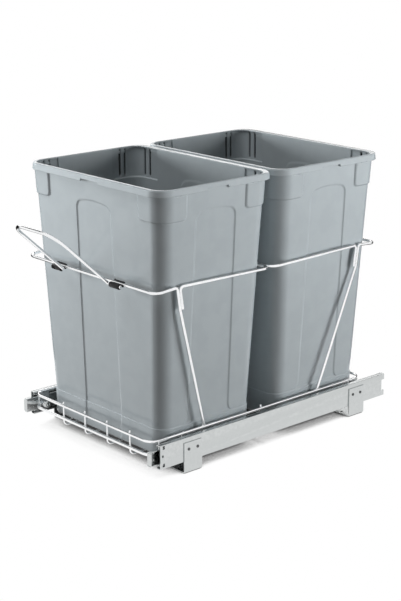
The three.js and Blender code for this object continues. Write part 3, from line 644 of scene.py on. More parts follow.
@dataclass(frozen=True)
class Finish:
    """What every finish has: a name, a slot, two close tones, a roughness range and a grain, and painted
    shade over a named mask.
    """

    name: str
    slot: Slot
    tone: Point
    second_tone: Point
    smooth: float
    rough: float
    metallic: float
    fineness: float
    relief: float
    stretch: Point = (1.0, 1.0, 1.0)
    worn_tone: Point = (0.5, 0.5, 0.5)
    wear: float = 0.3
    dust: float = 0.1
    dust_tone: Point = (0.42, 0.41, 0.38)
    marks: float = 0.6
    cloud_share: float = 0.6
    bump: float = 0.35
    # Painted shade: where this mask lies, the colour is darkened to the painted shade tone below, standing in
    # for shade.
    painted_shade_mask: str = ""
    painted_shade_tone: Point = (0.008, 0.009, 0.01)
    gloss: float = 0.5

    def material(self) -> bpy.types.Material:
        """The finish as a material, built the first time it is asked for.

        Returns:
            A material whose colour is the two tones in clouds with worn edges and dust over them and painted
            shade over the named mask, whose roughness runs between smooth and rough with the marks, and whose
            bump is the grain.
        """
        if self.name in bpy.data.materials:
            return bpy.data.materials[self.name]
        material = bpy.data.materials.new(self.name)
        board = Board.of(material)
        place = board.add("TexCoord").outputs["Object"]
        drawn = board.add("Mapping", {"Vector": place, "Scale": self.stretch}).outputs[0]
        grain = board.group(Effects.grain(), {"Place": drawn, "Fineness": self.fineness})
        clouds = grain.outputs["Clouds"]
        wear, marks, dust = (
            board.group(effect, {"Place": place, "Amount": amount}).outputs[0]
            for effect, amount in (
                (Effects.edge_wear(), self.wear),
                (Effects.marks(), self.marks),
                (Effects.dust(), self.dust),
            )
        )
        colour = board.blend(clouds, (*self.tone, 1), (*self.second_tone, 1))
        colour = board.blend(wear, colour, (*self.worn_tone, 1))
        colour = board.blend(dust, colour, (*self.dust_tone, 1))
        # Painted shade: where the named mask is 1, the colour goes to the dark painted shade tone.
        if self.painted_shade_mask:
            mask = board.add("Attribute", attribute_name=self.painted_shade_mask).outputs["Fac"]
            colour = board.blend(mask, colour, (*self.painted_shade_tone, 1))
        patchy = board.math("ADD", board.math("MULTIPLY", clouds, self.cloud_share), marks, clamp=True)
        roughness = board.ramp(board.math("ADD", patchy, dust, clamp=True), 0, 1, self.smooth, self.rough)
        height = {"Height": grain.outputs["Height"], "Strength": self.bump, "Distance": self.relief * MM}
        shader = board.add("BsdfPrincipled", {
            "Base Color": colour,
            "Roughness": roughness,
            "Metallic": self.metallic,
            "Normal": board.add("Bump", height).outputs[0],
            "Specular IOR Level": self.gloss,
        })
        board.add("OutputMaterial", {"Surface": shader.outputs[0]})
        return material


BIN_PLASTIC = Finish(
    name="satin grey polypropylene",
    slot=Slot.GREY,
    tone=(0.36, 0.4, 0.42),
    second_tone=(0.345, 0.385, 0.405),
    smooth=0.09,
    rough=0.16,
    metallic=0,
    fineness=1500,
    relief=0.05,
    worn_tone=(0.5, 0.53, 0.54),
    wear=0.25,
    dust=0.08,
    # Painted shade in the corner pockets' grooves, read from the groove attribute.
    painted_shade_mask="groove",
)
CHROME = Finish(
    name="bright chrome wire",
    slot=Slot.CHROME,
    tone=(0.93, 0.935, 0.94),
    second_tone=(0.88, 0.89, 0.9),
    smooth=0.06,
    rough=0.2,
    metallic=1,
    fineness=700,
    relief=0.02,
    worn_tone=(0.7, 0.7, 0.7),
    wear=0.1,
    dust=0.05,
)
ZINC = Finish(
    name="satin zinc plate",
    slot=Slot.ZINC,
    tone=(0.58, 0.6, 0.6),
    second_tone=(0.565, 0.585, 0.585),
    smooth=0.2,
    rough=0.26,
    metallic=1,
    fineness=1100,
    relief=0.015,
    stretch=(1.0, 0.06, 1.0),
    worn_tone=(0.82, 0.83, 0.83),
    wear=0.15,
    dust=0.04,
)
CLIP_PLASTIC = Finish(
    name="black moulded nylon",
    slot=Slot.BLACK,
    tone=(0.012, 0.012, 0.013),
    second_tone=(0.018, 0.018, 0.019),
    smooth=0.14,
    rough=0.26,
    metallic=0,
    fineness=1600,
    relief=0.04,
    worn_tone=(0.03, 0.03, 0.03),
    wear=0.2,
    dust=0.02,
    gloss=0.2,
)
RIVET_STEEL = Finish(
    name="dark rivet steel",
    slot=Slot.ZINC,
    tone=(0.09, 0.092, 0.095),
    second_tone=(0.12, 0.122, 0.125),
    smooth=0.32,
    rough=0.5,
    metallic=1,
    fineness=1200,
    relief=0.05,
    worn_tone=(0.3, 0.3, 0.3),
    wear=0.2,
)
RUBBER = Finish(
    name="black buffer rubber",
    slot=Slot.RUBBER,
    tone=(0.02, 0.02, 0.02),
    second_tone=(0.03, 0.03, 0.029),
    smooth=0.62,
    rough=0.85,
    metallic=0,
    fineness=1200,
    relief=0.2,
    worn_tone=(0.07, 0.07, 0.07),
)


# ---------- bins ----------
FRONT_WALL, SIDE_WALL = 0, 1  # kinds of wall: the front and back ones, and the side ones
OFF_WALL = 1e3  # the distance along a wall that the columns of a corner are given


def by_kind(kinds: np.ndarray, front: np.ndarray | float, side: np.ndarray | float) -> np.ndarray:
    """The front value in the columns of a front or back wall, and the side value in the others."""
    return np.where(kinds[None] == FRONT_WALL, front, side)


def raised(places: np.ndarray, height: np.ndarray) -> np.ndarray:
    """Flat places, rows by columns by 2, with a height for each row or each place as their Z.

    Args:
        places: X and Y.
        height: a column, or rows by columns.
    Returns:
        Points, rows by columns by 3.
    """
    return np.concatenate([places, np.broadcast_to(height, places.shape[:2])[..., None]], 2)


@dataclass
class WallLoops:
    """Rounded rectangles, one for each row, with matching columns.

    The outward normals go with the places, along is the distance on the wall from its middle, and kinds and
    turns are each column's kind of wall and its degrees round the corner from a front wall, -1 on a wall.
    """

    places: np.ndarray
    normals: np.ndarray
    along: np.ndarray
    kinds: np.ndarray
    turns: np.ndarray


@dataclass
class WasteBin:
    """A tapered bin with a plinth, arched panels, corner pads and a rim turned down to a skirt.

    Heights are above the bin's own base, and the centre is the middle of the body. The body's halves grow by
    the leans per unit of height, and the rim's middle stands behind the body's. Where a size differs by wall,
    it is given for the front and back walls first and for the side walls next. A fade is the distances
    between which a step rises, a span is the start, the end and the step of a run of rows, and the knots and
    rooms are distances from an edge at which columns of points are kept.
    """

    name: str
    body: str
    centre_y: float
    base_z: float = 27.55
    half_width: float = 152.552
    half_depth: float = 104.294
    lean_x: float = 0.0563
    lean_y: float = 0.0404
    corner: float = 24.3
    corner_growth: float = 0.0071
    wall: float = 3.0
    floor: float = 3.5
    floor_fillet: float = 7.0
    plinth_height: float = 46.0
    plinth_step: float = 1.1
    plinth_fade: Pair = (-0.5, 0.7)
    foot_round: float = 5.0
    height: float = 464.0
    rim_height: float = 12.0
    rim_half_width: float = 181.5
    rim_front: float = 129.555
    rim_back: float = 135.455
    rim_corner: float = 31.0
    crown: float = 3.2
    rim_tilt: float = 1.3
    mouth_round: float = 1.5
    mouth_fade: Pair = (463.5, 458.0)
    # inset and height over the skirt's lower edge, from under the flange round the edge to the face
    skirt: tuple[Pair, ...] = (
        (2.2, 5.8), (2.2, 0.6), (1.9, 0.15), (1.1, 0.0), (0.5, 0.15), (0.15, 0.6), (0.05, 1.4), (0.0, 5.0),
    )
    notch_half: float = 23.0
    notch_fade: float = 0.8
    notch_rise: float = 4.5
    notch_reach: float = 6.2
    notch_room: float = 2.0
    pad_foot: float = 409.0
    pad_step: float = 2.4
    pad_fade: Pair = (-1.2, 0.6)
    pad_round: float = 9.0
    pad_from: Pair = (120.3, 65.1)
    pad_shares: tuple[float, ...] = (0.16, 0.31, 0.46, 0.61, 0.77, 0.85)
    pad_knot: float = 1.8
    pad_room: float = 5.0
    under_rim: float = 451.5
    step_under_rim: Pair = (2.4, 1.1)
    panel_half: Pair = (48.0, 45.4)
    panel_flare: float = 3.5
    panel_foot: Pair = (0.0, 12.0)
    panel_foot_height: float = 16.0
    panel_fade: Pair = (-3.6, 0.2)
    front_panel_foot: Pair = (6.0, 14.0)
    side_panel_foot: Pair = (0.4, 3.0)
    panel_top: float = 422.0
    panel_rise: float = 7.0
    panel_round: float = 13.0
    panel_depth: float = 1.7
    panel_relief_inside: float = 0.9
    panel_knots: Pair = (14.0, 2.6)
    arch_reach: float = 1.2
    corner_room: float = 26.0
    pocket_floor: float = 406.6
    pocket_depth: float = 2.5
    pocket_swell: float = 0.4
    pocket_width: float = 32.5
    pocket_room: float = 4.0
    pocket_side_fade: float = 1.5
    pocket_floor_fade: float = 0.7
    groove_depth: float = 2.2
    groove_fade: Pair = (1.5, 2.9)
    wall_grooves: tuple[tuple[float, ...], ...] = ((10.1,), (14.8, 2.1))
    corner_groove: tuple[float, ...] = (4.0, 6.4, 11.4, 13.8)
    groove_ends: tuple[float, ...] = (410.2, 411.6, 458.0, 462.0)
    groove_places: tuple[tuple[float, ...], ...] = (
        (13.0, 11.6, 8.6, 7.2, 5.0, 2.5),
        (17.7, 16.3, 13.3, 11.9, 5.0, 3.6),
    )
    foot_steps: int = 6
    crown_steps: int = 7
    mouth_steps: int = 4
    fillet_steps: int = 6
    run_counts: tuple[int, ...] = (4, 2, 3, 7, 3, 6, 3, 2, 2, 2, 2, 2, 1, 2)
    corner_angles: tuple[float, ...] = (0, 4.4, 6, 11.8, 13.4, 21, 29, 37, 45, 53, 61, 69, 77, 84, 90)
    plinth_rows: tuple[float, ...] = (
        12, 22, 32, 40, 44, 45.2, 45.8, 46.3, 47, 48, 49.5, 51, 53, 56, 60, 66, 76,
    )
    outer_spans: tuple[tuple[float, ...], ...] = ((92, 392, 20), (394, 402, 2), (402, 425, 1), (426, 450, 3))
    flange_rows: tuple[float, ...] = (450, 451, 452, 454, 457.5)
    mouth_rows: tuple[float, ...] = (460, 456, 450, 444, 436, 428)
    inner_spans: tuple[tuple[float, ...], ...] = ((423, 409, -2.0), (408.5, 403, -0.5), (402, 386, -2.0))
    inner_rows: tuple[float, ...] = (
        380, 360, 330, 290, 240, 190, 140, 100, 76, 64, 58, 53, 50, 48, 47, 44, 36, 24, 16, 10.5,
    )
    underside_rings: tuple[Pair, ...] = ((0.3, 1.2), (0.8, 1.2), (0.93, 0.9), (0.95, 0.1))
    floor_rings: tuple[float, ...] = (0.97, 0.8, 0.5, 0.2)
    flange_shares: Pair = (0.35, 0.7)

    def __post_init__(self) -> None:
        """Numbers the columns: where each lies along its wall in knots, or its angle on its corner."""
        counts = enumerate(self.run_counts)
        half = np.concatenate([np.linspace(i, i + 1, n, endpoint=False) for i, n in counts])
        self.run = np.concatenate([-half[:0:-1], half])
        self.angles = np.radians(np.array(self.corner_angles, float))

    def _panel_edge(self, z: np.ndarray, kind: int) -> np.ndarray:
        """Half the width of a panel: it grows by the flare towards the plinth, and by a round foot on it.

        Args:
            z: heights of the rows.
            kind: of wall.
        Returns:
            The half width in each row.
        """
        down = np.clip((self.panel_top - z) / (self.panel_top - self.plinth_height), 0, 1)
        rise = np.clip((z - self.plinth_height) / self.panel_foot_height, 0, 1)
        foot = self.panel_foot[kind] * (1 - np.sqrt(1 - (1 - rise) ** 2))
        return self.panel_half[kind] + self.panel_flare * down + np.where(z < self.plinth_height, 0, foot)

    def _notch_edges(self) -> Pair:
        """The distances from a wall's middle between which the notch fades."""
        return self.notch_half - self.notch_fade, self.notch_half + self.notch_fade

    def _knots(self, z: np.ndarray, kind: int, end: np.ndarray, inside: bool) -> np.ndarray:
        """The places along half a wall that its columns keep to.

        Args:
            z: heights of the rows.
            kind: of wall.
            end: where the wall's corner begins in each row.
            inside: the rows are on the inner side.
        Returns:
            Rows by knots: the middle, the edges of the notch, the panel and the pad, the grooves, the end.
        """
        edge = np.minimum(self._panel_edge(z, kind), end - self.corner_room)
        if inside:
            pad = np.maximum(end - self.pocket_width, edge + self.pocket_room)
            rest = [end - place for place in self.groove_places[kind]]
        else:
            pad = np.minimum(self.pad_from[kind], end - self.pad_room)
            rest = [pad + (end - pad) * share for share in self.pad_shares]
        notch = [0 * z + place for place in self._notch_edges()]
        flat, slope = self.panel_knots
        panel = [np.maximum(edge - flat, self.notch_half + self.notch_room), edge - slope, edge]
        return np.stack([0 * z, *notch, *panel, pad - self.pad_knot, pad, *rest, end], 1)

    def _loop(
        self, z: np.ndarray, half_x: np.ndarray, front: np.ndarray, back: np.ndarray, radius: np.ndarray,
        inside: bool = False,
    ) -> WallLoops:
        """Rounded rectangles, one for each row.

        Args:
            z: heights of the rows.
            half_x, front, back: distances of the side, front and back walls from the middle in each row.
            radius: of the corners in each row.
            inside: the rows are on the inner side.
        Returns:
            On a wall d o + u w, with its distance d, its outward way o, and u along it by w; on a corner
            (d - r) o + (e - r) w + r (cos a, sin a), with the distance e of the next wall.
        """
        ends = ((half_x, half_x), (front, back), (half_x, half_x), (back, front))
        distances = (front, half_x, back, half_x)
        last_knot = len(self.run_counts) - 1
        pieces = []
        for wall, (distance, reaches) in enumerate(zip(distances, ends)):
            heading = RIGHT_ANGLE * (wall - 1)
            out = np.array([np.cos(heading), np.sin(heading)])
            way = np.array([-out[1], out[0]])
            kind = wall % 2
            u = np.empty((len(z), len(self.run)))
            for part, reach in zip((self.run < 0, self.run >= 0), reaches):
                table = self._knots(z, kind, reach - radius, inside)
                c = np.abs(self.run[part])
                i = np.minimum(c.astype(int), last_knot)
                between = (table[:, i + 1] - table[:, i]) * (c - i)
                u[:, part] = np.sign(self.run[part]) * (table[:, i] + between)
            flat = distance[:, None, None] * out + u[..., None] * way
            no_turn = np.full(len(self.run), -1.0)
            way_out = np.broadcast_to(out, flat.shape)
            pieces.append((flat, way_out, np.abs(u), no_turn + 1 + kind, no_turn))
            swing = self.angles if kind == FRONT_WALL else RIGHT_ANGLE - self.angles[::-1]
            direction = np.stack([np.cos(heading + swing), np.sin(heading + swing)], -1)
            middle = (distance - radius)[:, None] * out + (reaches[1] - radius)[:, None] * way
            round_part = middle[:, None] + radius[:, None, None] * direction
            way_out = np.broadcast_to(direction, round_part.shape)
            far = np.full(round_part.shape[:2], OFF_WALL)
            turn = np.degrees(swing if kind == FRONT_WALL else RIGHT_ANGLE - swing)
            pieces.append((round_part, way_out, far, 0 * swing + kind, turn))
        places, normals, along, kinds, turns = zip(*pieces)
        return WallLoops(
            np.concatenate(places, 1),
            np.concatenate(normals, 1),
            np.concatenate(along, 1),
            np.concatenate(kinds),
            np.concatenate(turns),
        )

    def _panel_mask(self, z: np.ndarray, loop: WallLoops) -> np.ndarray:
        """Where the arched panels are.

        Args:
            z: heights of the rows.
            loop: the rows.
        Returns:
            1 on a panel, fading at its edge. The front and back ones run on down the plinth.
        """
        edges = (self._panel_edge(z, kind)[:, None] for kind in (FRONT_WALL, SIDE_WALL))
        edge = by_kind(loop.kinds, *edges)
        top = self.panel_top - self.panel_rise * np.minimum(loop.along / edge, self.arch_reach) ** 2
        distance = rounded_corner(loop.along - edge, z[:, None] - top, self.panel_round)
        front_foot = smooth_step(*self.front_panel_foot, z)[:, None]
        low, high = (self.plinth_height + rise for rise in self.side_panel_foot)
        side_foot = smooth_step(low, high, z)[:, None]
        return (1 - smooth_step(*self.panel_fade, distance)) * by_kind(loop.kinds, front_foot, side_foot)

    def _outer_rows(self) -> np.ndarray:
        """The rows of the outer side from the foot to the flange, raised and sunk by pads, panels and plinth.

        Returns:
            Points, rows by columns by 3.
        """
        z = np.concatenate([
            self.foot_round * (1 - np.cos(quarter_turn(self.foot_steps))),
            self.plinth_rows,
            *(np.arange(*span) for span in self.outer_spans),
            self.flange_rows,
        ])
        half_x, half_y = self.half_width + self.lean_x * z, self.half_depth + self.lean_y * z
        loop = self._loop(z, half_x, half_y, half_y, self.corner + self.corner_growth * z)
        across = by_kind(loop.kinds, *self.pad_from) - loop.along
        pad_distance = rounded_corner(across, self.pad_foot - z[:, None], self.pad_round)
        pad = self.pad_step * (1 - smooth_step(*self.pad_fade, pad_distance))
        top_step = by_kind(loop.kinds, *self.step_under_rim)
        pad = np.where(z[:, None] > self.under_rim, np.minimum(pad, top_step), pad)
        rise = pad - self.panel_depth * self._panel_mask(z, loop)
        below = np.clip(self.plinth_height - z, 0, None)[:, None]
        plinth = self.plinth_step + by_kind(loop.kinds, self.lean_y, self.lean_x) * below
        low, high = (self.plinth_height + step for step in self.plinth_fade)
        rise = rise + plinth * (1 - smooth_step(low, high, z))[:, None]
        bottom = np.clip(1 - z / self.foot_round, 0, 1)
        rise = rise - (self.foot_round * (1 - np.sqrt(1 - bottom**2)))[:, None]
        return raised(loop.places + loop.normals * rise[..., None], z[:, None])

    def _rim_rows(self) -> np.ndarray:
        """The rows of the rim: down inside the skirt, round its edge, up its leaning face and over the crown.

        Returns:
            Points, rows by columns by 3. The skirt's lower edge is lifted by the notch where |u| is small.
        """
        lower = self.height - self.rim_height
        c = quarter_turn(self.crown_steps)
        skirt_inset, skirt_rise = (np.ravel(column) for column in columns(self.skirt))
        inset = np.concatenate([skirt_inset, self.crown * (1 - np.cos(c))])
        z = np.concatenate([lower + skirt_rise, self.height - self.crown * (1 - np.sin(c))])
        face = z >= lower
        face[: np.argmin(skirt_rise) + 1] = False
        up_face = np.clip((z[face] - lower) / (self.rim_height - self.crown), 0, 1)
        inset[face] = inset[face] + self.rim_tilt * up_face
        sizes = (self.rim_half_width, self.rim_front, self.rim_back, self.rim_corner)
        loop = self._loop(z, *(size - inset for size in sizes))
        notch = 1 - smooth_step(*self._notch_edges(), loop.along)
        level = lower + self.notch_reach
        share = (level - lower - self.notch_rise * notch) / (level - lower)
        z = z[:, None]
        return raised(loop.places, np.where(z < level, level - (level - z) * share, z))

    def _grooves(self, z: np.ndarray, loop: WallLoops, end: np.ndarray) -> np.ndarray:
        """The grooves of the corner pockets, three in each corner and one of them on the bend, darkened by
        painted shade.

        Args:
            z: heights of the rows.
            loop: the rows.
            end: where the wall's corner begins, in each row and column.
        Returns:
            1 in a groove and 0 off it.
        """
        groove = np.zeros_like(loop.along)
        for kind, centres in enumerate(self.wall_grooves):
            for centre in centres:
                near = 1 - smooth_step(*self.groove_fade, np.abs(loop.along - end + centre))
                groove = np.maximum(groove, near * (loop.kinds == kind)[None])
        into, full, out, gone = self.corner_groove
        bend = smooth_step(into, full, loop.turns) * (1 - smooth_step(out, gone, loop.turns))
        foot, above, below, top = self.groove_ends
        height_share = smooth_step(foot, above, z) * smooth_step(top, below, z)
        return np.maximum(groove, bend[None] + 0 * loop.along) * height_share[:, None]

    def _inner_rows(self) -> tuple[np.ndarray, np.ndarray]:
        """The rows of the inner side from the rim's inner edge down to the floor.

        Returns:
            Points, rows by columns by 3, and the groove mask, which also paints shade into the grooves.
        """
        c = quarter_turn(self.mouth_steps)[::-1]
        f = quarter_turn(self.fillet_steps)[1:]
        middle = np.concatenate([
            self.mouth_rows,
            *(np.arange(*span) for span in self.inner_spans),
            self.inner_rows,
        ])
        z = np.concatenate([
            self.height - self.mouth_round * (1 - np.sin(c)),
            middle,
            self.floor + self.floor_fillet * (1 - np.sin(f)),
        ])
        mouth, fillet = self.mouth_round * (1 - np.cos(c)), self.floor_fillet * (1 - np.cos(f))
        out = np.concatenate([mouth, np.zeros(len(middle)), -fillet])
        half_x = self.half_width + self.lean_x * z - self.wall
        half_y = self.half_depth + self.lean_y * z - self.wall
        radius = self.corner + self.corner_growth * z - self.wall
        loop = self._loop(z, half_x, half_y, half_y, radius, inside=True)
        end = by_kind(loop.kinds, (half_x - radius)[:, None], (half_y - radius)[:, None])
        low, high = (self.pocket_floor + s * self.pocket_floor_fade for s in (-1, 1))
        above = smooth_step(low, high, z)[:, None]
        in_pocket = smooth_step(-self.pocket_side_fade, 0.0, loop.along - end + self.pocket_width) * above
        swell = np.where(loop.turns >= 0, self.pocket_swell * np.sin(np.radians(2 * loop.turns)), 0)
        pocket = in_pocket * (self.pocket_depth + swell)[None]
        groove = self._grooves(z, loop, end)
        relief = pocket - self.panel_relief_inside * self._panel_mask(z, loop) + groove * self.groove_depth
        mouth_share = smooth_step(*self.mouth_fade, z)[:, None]
        places = loop.places + loop.normals * (out[:, None] + relief * mouth_share)[..., None]
        return raised(places, z[:, None]), groove

    def surface(self) -> Surface:
        """The whole bin as one closed skin.

        Returns:
            Rings shrinking to the middle of the underside, the outer side, the rim, the top of the flange
            p (1 - t) + q t between rim and mouth, the inner side, and rings shrinking on the floor.
        """
        outer, rim = self._outer_rows(), self._rim_rows()
        inner, groove = self._inner_rows()
        below = np.stack([outer[0] * (s, s, 1) + (0, 0, lift) for s, lift in self.underside_rings])
        flange = np.stack([rim[-1] * (1 - t) + inner[0] * t for t in self.flange_shares])
        inside = np.stack([inner[-1] * (s, s, 1) for s in self.floor_rings])
        before = np.concatenate([below, outer, rim, flange])
        rings = np.concatenate([before, inner, inside])
        # The groove mask goes to the attribute that paints shade into the grooves of the inner side.
        mask = np.zeros(rings.shape[:2])
        mask[len(before):len(before) + len(inner)] = groove
        surface = skin(rings + np.array([0, self.centre_y, self.base_z]))
        surface.masks[BIN_PLASTIC.painted_shade_mask] = np.concatenate([mask.ravel(), [0, 0]])
        return surface

    def build(self) -> None:
        """Builds the bin and dresses it."""
        piece = build_object(f"{self.name}_shell", self.surface())
        piece.modifiers.new("even shading", "WEIGHTED_NORMAL")
        dress(piece, BIN_PLASTIC, self.body, self.name)


# ---------- basket ----------
@dataclass
class WireBasket:
    """The basket: a frame wire, a front rod, four long floor wires with upturned ends and three cross wires.

    A bead is the half sizes of a weld bead; those beside an upright stand off its centre by the bead step.
    """

    half_width: float = 166.5
    front: float = -225.54
    rear: float = 290.86
    level: float = 64.3
    frame_wire: float = 5.0
    frame_bend: float = 20.0
    frame_steps: int = 8
    rod_wire: float = 5.5
    rod_half: float = 166.25
    rod_front: float = -225.78
    rod_end: float = -204.8
    rod_level: float = 40.6
    floor_wire: float = 3.5
    floor_level: float = 25.5
    floor_bend: float = 9.0
    floor_wires_x: tuple[float, ...] = (-82.0, -19.5, 43.0, 105.5)
    upright_front: float = -220.99
    upright_rear: float = 295.41
    tip_level: float = 69.5
    cross_wire: float = 4.0
    cross_half: float = 161.7
    cross_level: float = 21.45
    cross_bend: float = 8.0
    cross_wires: tuple[tuple[str, float, float], ...] = (
        ("front_cross_wire", -152.34, 64.3),
        ("middle_cross_wire", 32.66, 69.5),
        ("rear_cross_wire", 217.66, 64.3),
    )
    bead_step: float = 1.5
    frame_bead: Point = (1.5, 0.9, 2.6)
    frame_bead_back: float = 1.9
    rod_bead: Point = (1.4, 0.9, 2.4)
    rod_bead_back: float = 2.1
    floor_bead: Point = (2.2, 2.4, 0.9)
    floor_bead_level: float = 23.55
    end_bead: Point = (0.9, 2.6, 2.4)
    end_bead_out: float = 2.2

    def frame_line(self) -> np.ndarray:
        """The frame's closed centre line.

        Returns:
            A rounded rectangle: at each corner the arc m + r (cos a, sin a) about a middle m.
        """
        angle = quarter_turn(self.frame_steps)
        corners = ((1, self.rear), (-1, self.rear), (-1, self.front), (1, self.front))
        arcs = []
        for k, (side, y) in enumerate(corners):
            turn = angle + k * RIGHT_ANGLE
            x = side * self.half_width - side * self.frame_bend + self.frame_bend * np.cos(turn)
            arcs.append(np.stack([
                x,
                y - np.sign(y) * self.frame_bend + self.frame_bend * np.sin(turn),
                np.full_like(turn, self.level),
            ], 1))
        return np.vstack(arcs)

    def _beside(self, x: float, y: float, z: float, half: Point) -> list[Surface]:
        """Two beads, one on each side of an upright."""
        return [bead((x + s * self.bead_step, y, z), half) for s in (-1, 1)]

    def welds(self) -> Surface:
        """A bead at every crossing of two wires.

        Returns:
            The beads as one surface.
        """
        beads = []
        for x in self.floor_wires_x:
            for y in (self.upright_front, self.upright_rear):
                beads += self._beside(x, y - self.frame_bead_back, self.level, self.frame_bead)
            beads += self._beside(x, self.upright_front - self.rod_bead_back, self.rod_level, self.rod_bead)
            beads += [bead((x, y, self.floor_bead_level), self.floor_bead) for _, y, _ in self.cross_wires]
        for _, y, _ in self.cross_wires:
            reach = self.cross_half + self.end_bead_out
            beads += [bead((s * reach, y, self.level), self.end_bead) for s in (-1, 1)]
        return joined(beads)

    def build(self) -> None:
        """Builds the basket's wires and dresses them."""
        ring = round_wire(self.frame_line(), self.frame_wire, looped=True, guide=(0, 0, 1))
        make("frame_wire", ring, CHROME, "basket", "basket_top_frame")
        corners = mirrored([(self.rod_half, y, self.rod_level) for y in (self.rod_end, self.rod_front)])
        rod = round_wire(bent_line(corners, [self.frame_bend] * 2), self.rod_wire, guide=(0, 0, 1))
        make("front_rod", rod, CHROME, "basket", "basket_front_rod")
        for number, x in enumerate(self.floor_wires_x, 1):
            corners = [
                (x, self.upright_front, self.tip_level), (x, self.upright_front, self.floor_level),
                (x, self.upright_rear, self.floor_level), (x, self.upright_rear, self.tip_level),
            ]
            wire = round_wire(bent_line(corners, [self.floor_bend] * 2), self.floor_wire, guide=(1, 0, 0))
            make(f"long_wire_{number}", wire, CHROME, "basket", f"floor_wire_{number}")
        for node, y, tip in self.cross_wires:
            corners = mirrored([(self.cross_half, y, tip), (self.cross_half, y, self.cross_level)])
            wire = round_wire(bent_line(corners, [self.cross_bend] * 2), self.cross_wire, guide=(0, 1, 0))
            make(node.replace("cross_wire", "bearer"), wire, CHROME, "basket", node)
        make("basket_welds", self.welds(), CHROME, "basket")


# ---------- hoops ----------
@dataclass
class BinHoops:
    """Two hoops round the bins, each bent from two wires that are welded side by side on both sides."""

    half_width: float = 175.49
    wire: float = 5.5
    joint_gap: float = 5.8
    joint_level: float = 326.5
    joint_length: float = 39.0
    cross_level: float = 323.0
    lean: float = 6.0
    bends: Point = (12.0, 6.0, 15.0)
    foot_half: float = 166.5
    foot_level: float = 68.0
    # place of each joint, and the way from it to the middle of the unit
    joints: tuple[tuple[float, int], ...] = ((-171.04, 1), (260.86, -1))
    feet: Pair = (-107.54, 172.86)
    # node, place of the cross wire, joint, side of the joint, place of a foot
    halves: tuple[tuple[str, float, int, int, float | None], ...] = (
        ("front_hoop_front_half", -220.04, 0, -1, -107.54),
        ("front_hoop_rear_half", 37.48, 0, 1, None),
        ("rear_hoop_front_half", 43.28, 1, -1, None),
        ("rear_hoop_rear_half", 309.86, 1, 1, 172.86),
    )
    joint_bead: Point = (1.1, 1.5, 2.6)
    joint_bead_out: float = 1.5
    joint_bead_levels: Pair = (292.0, 316.0)
    joint_bead_count: int = 7
    foot_bead: Point = (2.6, 4.6, 1.4)
    foot_bead_level: float = 67.4

    def half_line(self, cross: float, joint: int, side: int, foot: float | None) -> np.ndarray:
        """The centre line of half a hoop, from one tail or foot over the cross wire to the other.

        Args:
            cross: place of the cross wire.
            joint: its number.
            side: which side of the joint the wire lies on, by the sign of Y.
            foot: place of its feet, or None where it ends in a tail.
        Returns:
            Points of the line.
        """
        place, inward = self.joints[joint]
        top = place + side * self.joint_gap / 2
        x = self.half_width
        corners = [
            (x, top + inward * self.lean, self.joint_level - self.joint_length),
            (x, top, self.joint_level),
            (x, cross, self.cross_level),
        ]
        bends = list(self.bends)
        if foot is None:
            bends = bends[1:]
        else:
            corners.insert(0, (self.foot_half, foot, self.foot_level))
        return bent_line(mirrored(corners), bends + bends[::-1])

    def welds(self) -> Surface:
        """Long rows of beads down each welded joint, and a bead at each foot.

        Returns:
            The beads as one surface.
        """
        beads = []
        for s in (-1, 1):
            for joint, inward in self.joints:
                for z in np.linspace(*self.joint_bead_levels, self.joint_bead_count):
                    y = joint + inward * self.lean * (self.joint_level - z) / self.joint_length
                    places = [s * (self.half_width + t * self.joint_bead_out) for t in (-1, 1)]
                    beads += [bead((x, y, z), self.joint_bead) for x in places]
            beads += [bead((s * self.foot_half, y, self.foot_bead_level), self.foot_bead) for y in self.feet]
        return joined(beads)

    def build(self) -> None:
        """Builds the hoops and dresses them."""
        for node, *layout in self.halves:
            wire = round_wire(self.half_line(*layout), self.wire)
            make(node.replace("half", "wire"), wire, CHROME, "basket", node)
        make("hoop_welds", self.welds(), CHROME, "basket")


